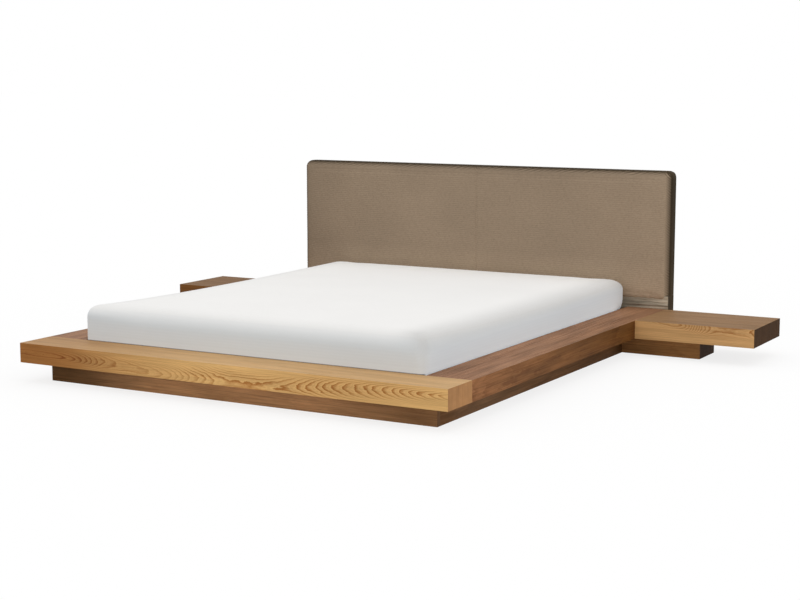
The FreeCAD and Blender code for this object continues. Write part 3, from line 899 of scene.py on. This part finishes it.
# The face, top and end tones of these veneers, and their browner stretches, are partly the wood's own tone
# and partly painted light and shade: faces turned away from the light are darker, and side rails and plinths
# darken along their length where light falls off.
FOOT_RAIL_OAK = Veneer(
    name="crown_cut_oak_veneer_lacquered", grain=Grain.ACROSS_BED,
    face_leaf_and_light="#e2b676", flat_leaf_and_light="#caa473", end_leaf_and_shade="#a7794c", ring_stain=OAK_STAIN,
    heart=Heart(face=-1.1425, spots=(
        (-1.0, 21.0, 0.128), (-0.8, 23.0, 0.126), (-0.49, 50.0, 0.118), (-0.32, 55.0, 0.104),
        (-0.1, 76.0, 0.1), (0.1, 88.0, 0.098), (0.3, 85.0, 0.104), (0.5, 68.0, 0.122),
        (0.75, 44.0, 0.134), (1.0, 22.0, 0.136))),
    ring_mm=3.8, face_figure=0.85, flat_figure=0.35, stain_and_shade="#b2957a",
    stain_and_shade_curve=((0.0, 1.0), (0.1, 0.95), (0.2, 0.65), (0.35, 0.25), (0.5, 0.0), (0.62, 0.05), (0.75, 0.15),
                 (1.0, 0.0)), flat_stain_and_shade=0.5, streaks=1.4)
NIGHTSTAND_OAK = Veneer(
    name="figured_oak_veneer_lacquered", grain=Grain.ACROSS_BED,
    face_leaf_and_light="#cca06c", flat_leaf_and_light="#957554", end_leaf_and_shade="#402913", ring_stain=OAK_STAIN,
    heart=Heart(face=0.6695, spots=(
        (-1.55, 40.0, 0.2), (-1.0, 70.0, 0.21), (1.0, 34.0, 0.2), (1.17, 30.0, 0.168), (1.4, 72.0, 0.158),
        (1.55, 66.0, 0.158))),
    ring_mm=4.0, face_figure=0.8, flat_figure=0.4, stain_and_shade="#9a8673",
    stain_and_shade_curve=((0.0, 1.0), (0.2, 1.0), (0.8, 0.0), (1.0, 0.0)), flat_stain_and_shade=0.4, streaks=2.0, shine=0.03)
SIDE_RAIL_WALNUT = Veneer(
    name="straight_walnut_veneer_lacquered", grain=Grain.ALONG_BED,
    face_leaf_and_light="#986843", flat_leaf_and_light="#a37b5e", end_leaf_and_shade="#6d4d35", ring_stain=WALNUT_STAIN,
    heart=Heart(face=-1.9, spots=((-1.0, 30.0, 0.1), (-0.2, 60.0, 0.14), (1.1, 20.0, 0.12))),
    ring_mm=9.0, face_figure=0.4, flat_figure=0.9, stain_and_shade="#b2ab8a",
    stain_and_shade_curve=((0.0, 0.0), (0.3, 0.65), (0.6, 0.95), (0.8, 1.0), (1.0, 1.0)), flat_stain_and_shade=0.12, streaks=3.2,
    shine=0.06)
PLINTH_WALNUT_ACROSS = Veneer(
    name="plinth_walnut_veneer_lacquered", grain=Grain.ACROSS_BED,
    face_leaf_and_light="#c6976c", flat_leaf_and_light="#7a5638", end_leaf_and_shade="#775a40", ring_stain=WALNUT_STAIN,
    heart=Heart(face=-1.4, spots=((-1.3, 30.0, -0.02), (0.0, 60.0, 0.02), (1.3, 20.0, 0.0))),
    ring_mm=9.0, face_figure=0.15, flat_figure=0.15, stain_and_shade="#858074",
    stain_and_shade_curve=((0.0, 1.0), (0.17, 1.0), (0.28, 0.45), (0.4, 0.1), (0.6, 0.0), (0.72, 0.2), (0.85, 0.6),
                 (1.0, 0.6)), streaks=2.8, shine=0.04)
BASE_WALNUT = replace(PLINTH_WALNUT_ACROSS, name="base_walnut_veneer_lacquered", face_leaf_and_light="#c38e5a",
                      end_leaf_and_shade="#452b14", stain_and_shade_curve=((0.0, 0.35), (1.0, 0.35)))
# A darker copy of the plinth veneer for the side plinths, which turn away from the light: painted shade
PLINTH_WALNUT_ALONG = Veneer(
    name="plinth_side_walnut_veneer_lacquered", grain=Grain.ALONG_BED,
    face_leaf_and_light="#866649", flat_leaf_and_light="#6b4c34", end_leaf_and_shade="#5c3f2a", ring_stain=WALNUT_STAIN,
    heart=Heart(face=-1.9, spots=((-1.1, 30.0, 0.0), (0.0, 60.0, 0.03), (1.1, 20.0, 0.01))),
    ring_mm=9.0, face_figure=0.15, flat_figure=0.15, stain_and_shade="#ccbda2",
    stain_and_shade_curve=((0.0, 0.9), (0.03, 0.87), (0.068, 0.74), (0.09, 0.45), (0.13, 0.17), (0.2, 0.17),
                 (0.26, 0.3), (0.34, 0.62), (0.5, 0.85), (0.6, 1.0), (1.0, 1.0)), streaks=2.8, shine=0.04)

SPRUCE_ALONG = PlainTimber("planed_spruce_along", Grain.ALONG_BED, "#dcbc8a", "#b98d58", 6.0)
SPRUCE_ACROSS = PlainTimber("planed_spruce_across", Grain.ACROSS_BED, "#dcbc8a", "#b98d58", 6.0)
SPRUCE_UPRIGHT = PlainTimber("planed_spruce_upright", Grain.UPRIGHT, "#dcbc8a", "#b98d58", 6.0)
BEECH_LAMINATE = PlainTimber("pressed_beech_laminate", Grain.ACROSS_BED, "#dab48a", "#c0906a", 3.5, 1.6)
PLYWOOD = PlainTimber("poplar_plywood", Grain.ACROSS_BED, "#d6b98f", "#b89468", 8.0, 2.0)

# The headboard's side faces are painted dark as shade, its left and top edges get a band of painted shade,
# and it is painted lighter low down, towards the right and near the top, and darker at the left
HEADBOARD_CLOTH = Cloth(
    name="brushed_polyester_weave", tone="#9c8974", slub="#7d6c59", edge="#32291d",
    shaded_faces=ShadedFaces.BOXING, slub_mm=(6.0, 3.0),
    slub_share=0.4, thread_mm=5.0, relief_mm=0.8, sheen=0.02, shine=0.05, roughness=0.88,
    painted_light_fades=(PaintedLightFade("Z", 0.4, 0.2, 0.42), PaintedLightFade("X", 0.45, 0.98, 0.18), PaintedLightFade("X", -0.72, -1.01, -0.13),
           PaintedLightFade("Z", 0.785, 0.812, 0.5)),
    shade_bands=(PaintedShadeBand(("X", "Z"), (-1.0185, 0.0), (1.2, 0.814), 0.06, "#d2d2d2"),))
# The strip's dark slubs are painted crease shadows, and it is painted lighter towards its right end
STRIP_CLOTH = replace(
    HEADBOARD_CLOTH, name="slack_polyester_weave", tone="#a89d8b", slub="#3a3126", slub_mm=(70.0, 6.0),
    slub_share=0.75, painted_light_fades=(PaintedLightFade("X", 0.84, 1.0, 0.6),), shade_bands=())
# The ticking's sides get painted shade, a painted shadow line runs along the foot end, bands of painted shade
# darken it towards its foot and right edges, and it is painted lighter low down and towards the head, against
# the shade there
MATTRESS_KNIT = Cloth(
    name="white_double_knit_ticking", tone="#f2f1ef", slub="#ebeae8", edge="#d9e0e5",
    shaded_faces=ShadedFaces.UPRIGHT, slub_mm=(9.0, 6.0),
    slub_share=0.06, thread_mm=6.0, relief_mm=0.15, sheen=0.1, roughness=0.92, gap_shadow_top=0.1667,
    painted_light_fades=(PaintedLightFade("Z", 0.265, 0.2, 0.12), PaintedLightFade("Z", 0.195, 0.168, 0.1), PaintedLightFade("Y", 0.4, 1.04, 0.1)),
    shade_bands=(PaintedShadeBand(("X", "Y"), (-0.808, -0.9515), (1.4, 1.4), 0.15, "#f3f3f3"),
             PaintedShadeBand(("X", "Y"), (-1.4, -1.4), (0.806, 1.4), 0.2, "#cecece")))
DUST_CLOTH = Cloth(
    name="bonded_dust_cloth", tone="#2f2d2b", slub="#3c3936", edge="#2f2d2b",
    shaded_faces=ShadedFaces.BOXING, slub_mm=(14.0, 9.0),
    slub_share=0.7, thread_mm=7.0, relief_mm=0.3, sheen=0.0, roughness=0.95)

FOAM = Grained("open_cell_foam", "#e8dfc4", "#c9bd98", 5.0, 0.8, (0.9, 1.0))
HOLDER_PLASTIC = Grained("moulded_polypropylene", "#3a3c3e", "#2c2e30", 2.5, 0.1, (0.42, 0.55))
FOOT_PLASTIC = Grained("moulded_nylon", "#1f2021", "#2b2c2d", 2.5, 0.1, (0.45, 0.6))
ZINC_STEEL = Grained("zinc_plated_steel", "#b9bdc0", "#9aa0a5", 9.0, 0.05, (0.28, 0.42), metallic=1.0)


@dataclass
class TimberFrame:
    """The rails, plinth, nightstands and hidden carcass, which keep their solids.

    Args:
        finishes: Each finish with the nodes that carry it.
    """

    finishes: tuple[tuple[Finish, tuple[str, ...]], ...] = (
        (FOOT_RAIL_OAK, ("foot_rail", "foot_rail_end_caps")),
        (NIGHTSTAND_OAK, ("left_nightstand", "right_nightstand")),
        (SIDE_RAIL_WALNUT, ("left_side_rail", "right_side_rail")),
        (PLINTH_WALNUT_ACROSS, ("front_plinth", "rear_plinth")),
        (BASE_WALNUT, ("left_nightstand_base", "right_nightstand_base")),
        (PLINTH_WALNUT_ALONG, ("left_side_plinth", "right_side_plinth")),
        (SPRUCE_ACROSS, ("head_rail", "nightstand_bearers", "headboard_battens")),
        (SPRUCE_ALONG, ("rail_end_blocks", "rail_tenons", "centre_beam", "left_slat_ledger",
                        "right_slat_ledger")),
        (SPRUCE_UPRIGHT, ("plinth_corner_blocks", "centre_legs", "left_headboard_leg",
                          "right_headboard_leg")),
        (BEECH_LAMINATE, tuple(f"slat_pair_{number:02d}" for number in range(1, 15))),
        (PLYWOOD, ("headboard_panel",)),
        (HOLDER_PLASTIC, ("left_slat_holders", "right_slat_holders", "centre_slat_holders")),
        (FOOT_PLASTIC, ("levelling_foot_1", "levelling_foot_2", "levelling_foot_3")),
        (ZINC_STEEL, ("corner_brackets", "bracket_bolts", "headboard_bolts", "foot_beam_hanger",
                      "head_beam_hanger")),
    )

    def build(self) -> list[str]:
        """Dress every hard node.

        Returns:
            The nodes dressed.
        """
        dressed = []
        for finish, names in self.finishes:
            material = finish.material()
            for name in names:
                dress_node(name, material)
                dressed.append(name)
        return dressed


@dataclass
class Mattress:
    """The loose mattress in its white cover, crowned, with full edges that dip between the corners.

    Args:
        node: The solid that the cover stands for.
        core: The solid that the foam stands for.
        low_rounds: Reach of the rounding at its left, foot and lower sides.
        high_rounds: The same at its right, head and upper sides.
        sharp_height: Height of the rounding along its upper left edge and at its head, where it is sharper.
        sharp_reach: How far from its left side and from its head that changes.
        head_under: Height of the rounding along its lower edge at the head.
        under_reach: How far from its head that changes.
        squareness: How square its upright corners are: the left one at the foot, the lower end of the right
            one at the foot, and its upper end with the two at the head.
        corner_turn: Shares of the height between which the right corner at the foot changes.
        slack: How far the skin swells.
        full: How far its left side, its foot end, its right side and its top stand out of the solid.
        head_play: How far its head end stands inside the solid.
        plump: How much higher the top is at its foot end, and how far from there that dies away.
        crown: How much higher the middle of the top is than its edges.
        dip: How far the long top edges sag between the corners.
        softness: Height of the slow unevenness of the top.
        room: How far the skin may go past the solid's lowest corner and past its highest.
        step: Spacing of the mesh lines on the flat.
    """

    node: str = "mattress_cover"
    core: str = "mattress_core"
    low_rounds: Triple = (0.03, 0.055, 0.028)
    high_rounds: Triple = (0.06, 0.06, 0.065)
    sharp_height: float = 0.042
    sharp_reach: tuple[float, float] = (0.3, 1.2)
    head_under: float = 0.075
    under_reach: float = 0.15
    squareness: Triple = (9.0, 6.0, 2.4)
    corner_turn: tuple[float, float] = (0.125, 0.75)
    slack: float = 0.005
    full: tuple[float, float, float, float] = (0.008, 0.004, 0.006, 0.004)
    head_play: float = 0.002
    plump: tuple[float, float] = (0.015, 0.35)
    crown: float = 0.003
    dip: float = 0.007
    softness: float = 0.0012
    room: tuple[Triple, Triple] = ((0.008, 0.004, 0.0), (0.008, 0.0, 0.02))
    step: float = 0.03

    def build(self) -> list[str]:
        """Make the foam and the cover, swell the cover and shape its top.

        Returns:
            The pieces made.
        """
        core = foam_block("mattress_foam", "mattress", self.core, (0.05, 0.05, 0.03), (0.05, 0.05, 0.055),
                          0.05)
        solid_low, solid_high = corners_of(self.node)
        left, foot, right, top = self.full
        low, high = solid_low - (left, foot, 0.0), solid_high + (right, -self.head_play, top - self.slack)
        points, faces = box_skin(low, high, self.low_rounds, self.high_rounds, (self.step,) * 3)
        x, y, z = points.T
        over, under = (np.tile(rounds, (len(points), 1)) for rounds in (self.high_rounds, self.low_rounds))
        blunt = (ramp(x, low[0], low[0] + self.sharp_reach[0])
                 * ramp(y, high[1], high[1] - self.sharp_reach[1]))
        over[:, 2] = self.sharp_height + (self.high_rounds[2] - self.sharp_height) * blunt
        under[:, 2] += (self.head_under - self.low_rounds[2]) * ramp(y, high[1] - self.under_reach, high[1])
        left_square, low_square, high_square = self.squareness
        turn = ramp((z - low[2]) / (high[2] - low[2]), *self.corner_turn)
        square = np.where(x < 0, left_square, low_square + (high_square - low_square) * turn)
        square = np.where(y < 0, square, high_square)
        points = rounded(points, low, high, under, over, square)
        piece = mesh_piece("mattress_ticking", points, faces, MATTRESS_KNIT.material())
        # Its underside stays in place
        swell(piece, points[:, 2] < low[2] + 0.5 * self.low_rounds[2], self.slack)
        subdivide(piece)
        self.shape_top(piece, solid_low, solid_high)
        stand_in(piece, "mattress", self.node)
        return [core, piece.name]

    def shape_top(self, piece: Piece, low: np.ndarray, high: np.ndarray) -> None:
        """Crown the top, let its edges dip, and keep the skin in the solid's space.

        Args:
            piece: The swelled cover.
            low: Lowest corner of the solid.
            high: Highest corner of the solid.
        """
        points = points_of(piece.data)
        middle, half = (low + high) / 2, (high - low) / 2
        across, along = (ramp(np.abs(points[:, axis] - middle[axis]), 0.0, half[axis]) for axis in (0, 1))
        sag = self.dip * across**4 * np.cos(along * math.pi / 2) + self.crown * np.maximum(across, along) ** 4
        height, reach = self.plump
        rise = height * np.exp((low[1] - points[:, 1]) / reach)
        soft = self.softness * wander(points, (0.35, 0.35, 0.2), 3.7)
        points[:, 2] += ramp(points[:, 2], low[2], high[2]) ** 2 * (soft - sag + rise)
        place_points(piece.data, np.clip(points, low - self.room[0], high + self.room[1]))


@dataclass
class Headboard:
    """The padded headboard: a crowned pad in two panels, a slack strip below it, and a dust cloth behind.

    Args:
        node: The solid that the pad and the strip stand for.
        lining: The solid that the dust cloth stands for.
        foam: The solid that the foam stands for.
        pad_bottom: Height of the pad's lower edge.
        strip_front: Place of the strip's front.
        strip_tuck: How far the strip's ends stand inside the pad's.
        strip_rise: How far the strip goes up inside the pad.
        corner: Radius of the pad's corners in elevation.
        edge: Radius of its front edges.
        strip_edge: Radius of the strip's edges.
        proud: How far the padding stands out of the solid at its left end, its right end and its top.
        pucker: Spacing of the puckers along its edges.
        slack: How much thinner the pad's skin starts.
        step: Spacing of the mesh lines on the flat.
        hem: Width of the covering that shows round the dust cloth.
        lining_inset: How far the lining's solid already lies inside the headboard's outline.
        tacks: Spacing of the dust cloth's tacks.
    """

    node: str = "headboard_cover"
    lining: str = "headboard_lining"
    foam: str = "headboard_foam"
    pad_bottom: float = 0.194
    strip_front: float = 1.0655
    strip_tuck: float = 0.001
    strip_rise: float = 0.035
    corner: float = 0.034
    edge: float = 0.042
    strip_edge: float = 0.006
    proud: Triple = (0.0105, 0.005, 0.008)
    pucker: float = 0.012
    slack: float = 0.003
    step: float = 0.018
    hem: float = 0.022
    lining_inset: float = 0.009
    tacks: float = 0.075

    def build(self) -> list[str]:
        """Make the pad, the strip, the foam and the dust cloth.

        Returns:
            The pieces made.
        """
        # The covers close on the dust cloth, the strip a little before the pad so that their backs don't meet
        lap, apart = 0.3 * MM, 0.1 * MM
        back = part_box(self.lining)[0].y + lap
        covers = (self.pad(back), self.strip(back - apart))
        for piece in covers:
            stand_in(piece, "bed", self.node)
        filling = foam_block("headboard_filling", "bed", self.foam, (0.034, 0.026, 0.034),
                             (0.034, 0.0, 0.034), 0.03)
        return [*(piece.name for piece in covers), filling, self.dust_cloth()]

    def pad(self, back: float) -> Piece:
        """Make the padded part, swelled and sewn.

        Args:
            back: Place of the pad's back.

        Returns:
            The piece.
        """
        low, high = corners_of(self.node)
        left, right, top = self.proud
        sides = ((low[0] - left, low[1] + self.slack, self.pad_bottom),
                 (high[0] + right, back, high[2] + top),
                 (self.corner, self.edge, self.corner), (self.corner, 0.0, self.corner))
        seam_lines = (-0.012, -0.006, 0.006, 0.012)
        points, faces = box_skin(*sides, (self.step, self.step, 0.4 * self.step), seam_lines)
        points = rounded(points, *sides)
        piece = mesh_piece("headboard_pad", points, faces, HEADBOARD_CLOTH.material())
        # Its back and the rear part of its edges stay in place
        swell(piece, points[:, 1] > low[1] + self.slack + 0.75 * self.edge, self.slack)
        subdivide(piece)
        self.sew(piece, low[1])
        return piece

    def sew(self, piece: Piece, front: float) -> None:
        """Pull in the middle seam and the puckered edge seam, and crease the lower edge.

        Args:
            piece: The swelled pad.
            front: Place of the solid's front.
        """
        seam_width, crease_width, rim_depth = 0.005, 0.022, 0.05
        rim_turn, rim_spread, pucker_drift = 0.7, 0.28, 0.006
        seam_pull, pucker_pull, crease_height, wave_height = 0.0028, 0.0018, 0.0022, 0.0007
        points, normals = points_of(piece.data), normals_of(piece.data)
        forward = np.clip(-normals[:, 1], 0, 1)
        seam = bell(points[:, 0], 0.0, seam_width) * forward
        rim = bell(forward, rim_turn, rim_spread) * (points[:, 1] < front + rim_depth)
        round_way = points[:, 0] + points[:, 2] + pucker_drift * wander(points, (0.05, 0.05, 0.05), 1.3)
        uneven = 0.6 + 0.4 * wander(points, (0.07, 0.07, 0.07), 9.2)
        gather = np.sin(round_way * math.tau / self.pucker) * uneven
        crease = bell(points[:, 2], self.pad_bottom, crease_width) * wander(points, (0.11, 0.05, 0.008), 5.1)
        wave = wander(points, (0.22, 0.2, 0.22), 8.4) * forward
        move = (-seam_pull * seam + pucker_pull * rim * (gather - 0.5)
                + crease_height * crease + wave_height * wave)
        points += normals * move[:, None]
        points[:, 1] = np.maximum(points[:, 1], front)
        place_points(piece.data, points)

    def strip(self, back: float) -> Piece:
        """Make the slack strip below the pad, creased where it is tucked under.

        Args:
            back: Place of the strip's back.

        Returns:
            The piece.
        """
        fold_place, fold_width, fold_drift, fold_height = 0.183, 0.005, 0.003, 0.003
        crease_height, crease_most = 0.004, 0.2
        over_rail = (0.166, 0.174)
        low, high = corners_of(self.node)
        left, right = self.proud[0] - self.strip_tuck, self.proud[1] - self.strip_tuck
        edge = self.strip_edge
        sides = ((low[0] - left, self.strip_front, low[2]),
                 (high[0] + right, back, self.pad_bottom + self.strip_rise),
                 (edge, edge, edge), (edge, 0.0, edge))
        points, faces = box_skin(*sides, (0.016, 0.02, 0.007))
        piece = mesh_piece("headboard_strip", rounded(points, *sides), faces, STRIP_CLOTH.material())
        subdivide(piece)
        points, normals = points_of(piece.data), normals_of(piece.data)
        shown = np.clip(-normals[:, 1], 0, 1) * ramp(points[:, 2], *over_rail)
        fold = bell(points[:, 2], fold_place + fold_drift * wander(points, (0.3, 1, 1), 2.2), fold_width)
        crease = np.minimum(wander(points, (0.09, 0.05, 0.007), 6.6), crease_most)
        points += normals * (shown * (fold_height * fold + crease_height * crease))[:, None]
        place_points(piece.data, points)
        return piece

    def dust_cloth(self) -> str:
        """Stretch the dust cloth over the back, drawn in a little between its tacks.

        Returns:
            The piece's name.
        """
        pull_most, pull_fade, pulled_border = 0.0025, 0.02, 0.06
        flat_border, lift, wave_height, thickness = 0.05, 0.0001, 0.0003, 0.0006
        inset = np.array((1, 0, 1)) * (self.hem - self.lining_inset)
        low, high = corners_of(self.lining)
        low, high = low + inset, high - inset
        columns, rows = 161, 61
        grid = np.meshgrid(np.linspace(low[0], high[0], columns), np.linspace(low[2], high[2], rows))
        x, z = (places.ravel() for places in grid)
        inward = np.minimum(np.minimum(x - low[0], high[0] - x), np.minimum(z - low[2], high[2] - z))
        tack = 0.5 + 0.5 * np.cos((x + z) * math.tau / self.tacks)
        pull = pull_most * np.exp(-inward / pull_fade) * (1 - tack)
        points = np.column_stack([x, np.full_like(x, high[1]), z])
        for axis in (0, 2):
            off_middle = points[:, axis] - (low[axis] + high[axis]) / 2
            pulled = np.abs(off_middle) > (high[axis] - low[axis]) / 2 - pulled_border
            points[:, axis] -= np.sign(off_middle) * pull * pulled
        wave = ramp(inward, 0.0, flat_border) * wander(points, (0.3, 1.0, 0.12), 4.4)
        points[:, 1] -= lift + wave_height * wave
        faces = quads_of(np.arange(len(points)).reshape(rows, columns))
        piece = mesh_piece("headboard_dust_cloth", points, faces, DUST_CLOTH.material())
        thick = piece.modifiers.new("thickness", "SOLIDIFY")
        thick.thickness, thick.offset = thickness, -1.0
        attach(piece, "bed")
        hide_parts(self.lining)
        return piece.name


@dataclass
class Studio:
    """A white floor, soft light from above and from the right, and the camera at the viewing angle.

    Args:
        eye: Place of the camera.
        turn: Its turn to the left of the bed's length, in degrees.
        tilt: Its tilt below the horizon, in degrees.
        lens_mm: Its focal length.
        sensor_mm: Width of its sensor.
        sight: How far it sees.
        key_from: Direction that the high lamp shines from.
        key_strength: The high lamp's strength.
        fill_from: Direction that the side lamp shines from.
        fill_strength: The side lamp's strength.
        spread: Angle over which each lamp's light comes, in degrees.
        sky: Light of the surroundings.
        floor_reach: Half width of the floor.
        floor_drop: How far the floor lies below the bed, so that their faces don't meet.
        floor_glow: How much of the floor's white is its own, where it is looked at.
        shut_in: Half width and half length of the floor inside the plinth, which has no white of its own.
    """

    eye: Triple = (3.58525, -6.07368, 1.27646)
    turn: float = 29.409
    tilt: float = 8.1092
    lens_mm: float = 72.18
    sensor_mm: float = 36.0
    sight: float = 200.0
    key_from: Triple = (0.05, -0.1, 1.0)
    key_strength: float = 0.52
    fill_from: Triple = (1.0, 0.2, 0.3)
    fill_strength: float = 0.41
    spread: float = 60.0
    sky: float = 0.8
    floor_reach: float = 60.0
    floor_drop: float = 0.0005
    floor_glow: float = 0.8
    shut_in: tuple[float, float] = (0.9, 1.04)

    def build(self) -> list[str]:
        """Make the floor, the light and the camera.

        Returns:
            The names of what was made.
        """
        return [self.floor(), self.lamp("high_softbox", self.key_from, self.key_strength),
                self.lamp("side_softbox", self.fill_from, self.fill_strength), self.surroundings(),
                self.camera()]

    def looked_at(self, add: AddNode) -> bpy.types.Node:
        """A factor that is 1 for what is looked at, straight on, in a mirror or through glass.

        Args:
            add: Adds a node.

        Returns:
            The node that gives the factor.
        """
        path = add("LightPath")
        rays = (path.outputs[f"Is {kind} Ray"] for kind in ("Camera", "Glossy", "Transmission"))
        return reduce(partial(add, "MAXIMUM"), rays)

    def floor(self) -> str:
        """Make the floor, white where it is looked at and pale for the light that it throws back.

        Returns:
            The floor's name.
        """
        made = bpy.data.materials.new("matt_white_studio_floor")
        add = cleared(made)
        place = add("SeparateXYZ", add("TexCoord").outputs["Object"])
        open_floor = add("MAXIMUM", *(add("GREATER_THAN", add("ABSOLUTE", place.outputs[axis]), half)
                                      for axis, half in zip("XY", self.shut_in)))
        shown = add("MixShader", add("MULTIPLY", open_floor, self.floor_glow), add("BsdfDiffuse", WHITE),
                    add("Emission", WHITE, 1.0))
        add("OutputMaterial", add("MixShader", self.looked_at(add), add("BsdfDiffuse", PALE_FLOOR), shown))
        corners = np.array([(-1, -1, 0), (1, -1, 0), (1, 1, 0), (-1, 1, 0)]) * self.floor_reach
        floor = mesh_piece("studio_floor", corners, np.array([[0, 1, 2, 3]]), made)
        floor.location.z = -self.floor_drop
        return floor.name

    def lamp(self, name: str, shines_from: Triple, strength: float) -> str:
        """Hang a broad soft lamp.

        Args:
            name: Its name.
            shines_from: Direction that it shines from.
            strength: Its strength.

        Returns:
            The lamp's name.
        """
        light = bpy.data.lights.new(name, "SUN")
        light.energy = strength
        light.angle = math.radians(self.spread)
        lamp = bpy.data.objects.new(name, light)
        lamp.rotation_euler = Vector(shines_from).to_track_quat("Z", "Y").to_euler()
        bpy.context.scene.collection.objects.link(lamp)
        return lamp.name

    def surroundings(self) -> str:
        """Light the surroundings evenly, and show them white.

        Returns:
            The world's name.
        """
        world = bpy.data.worlds.new("white_studio")
        add = cleared(world)
        light, shown = (add("Background", WHITE, strength) for strength in (self.sky, 1.0))
        add("OutputWorld", add("MixShader", self.looked_at(add), light, shown))
        bpy.context.scene.world = world
        return world.name

    def camera(self) -> str:
        """Set up the camera.

        Returns:
            The camera's name.
        """
        optics = bpy.data.cameras.new("viewing_camera")
        optics.sensor_width, optics.lens, optics.clip_end = self.sensor_mm, self.lens_mm, self.sight
        camera = bpy.data.objects.new("viewing_camera", optics)
        camera.location = self.eye
        camera.rotation_euler = (math.radians(90 - self.tilt), 0.0, math.radians(self.turn))
        bpy.context.scene.collection.objects.link(camera)
        bpy.context.scene.camera = camera
        bpy.context.scene.view_settings.view_transform = "Standard"
        return camera.name


def main() -> None:
    """Build the sub-assemblies in order and report each piece."""
    logging.basicConfig(level=logging.INFO, format="%(name)s: %(message)s")
    for assembly in (TimberFrame(), Mattress(), Headboard(), Studio()):
        for name in assembly.build():
            LOG.info("%s: %s", type(assembly).__name__, name)


if __name__ == "__main__":
    main()
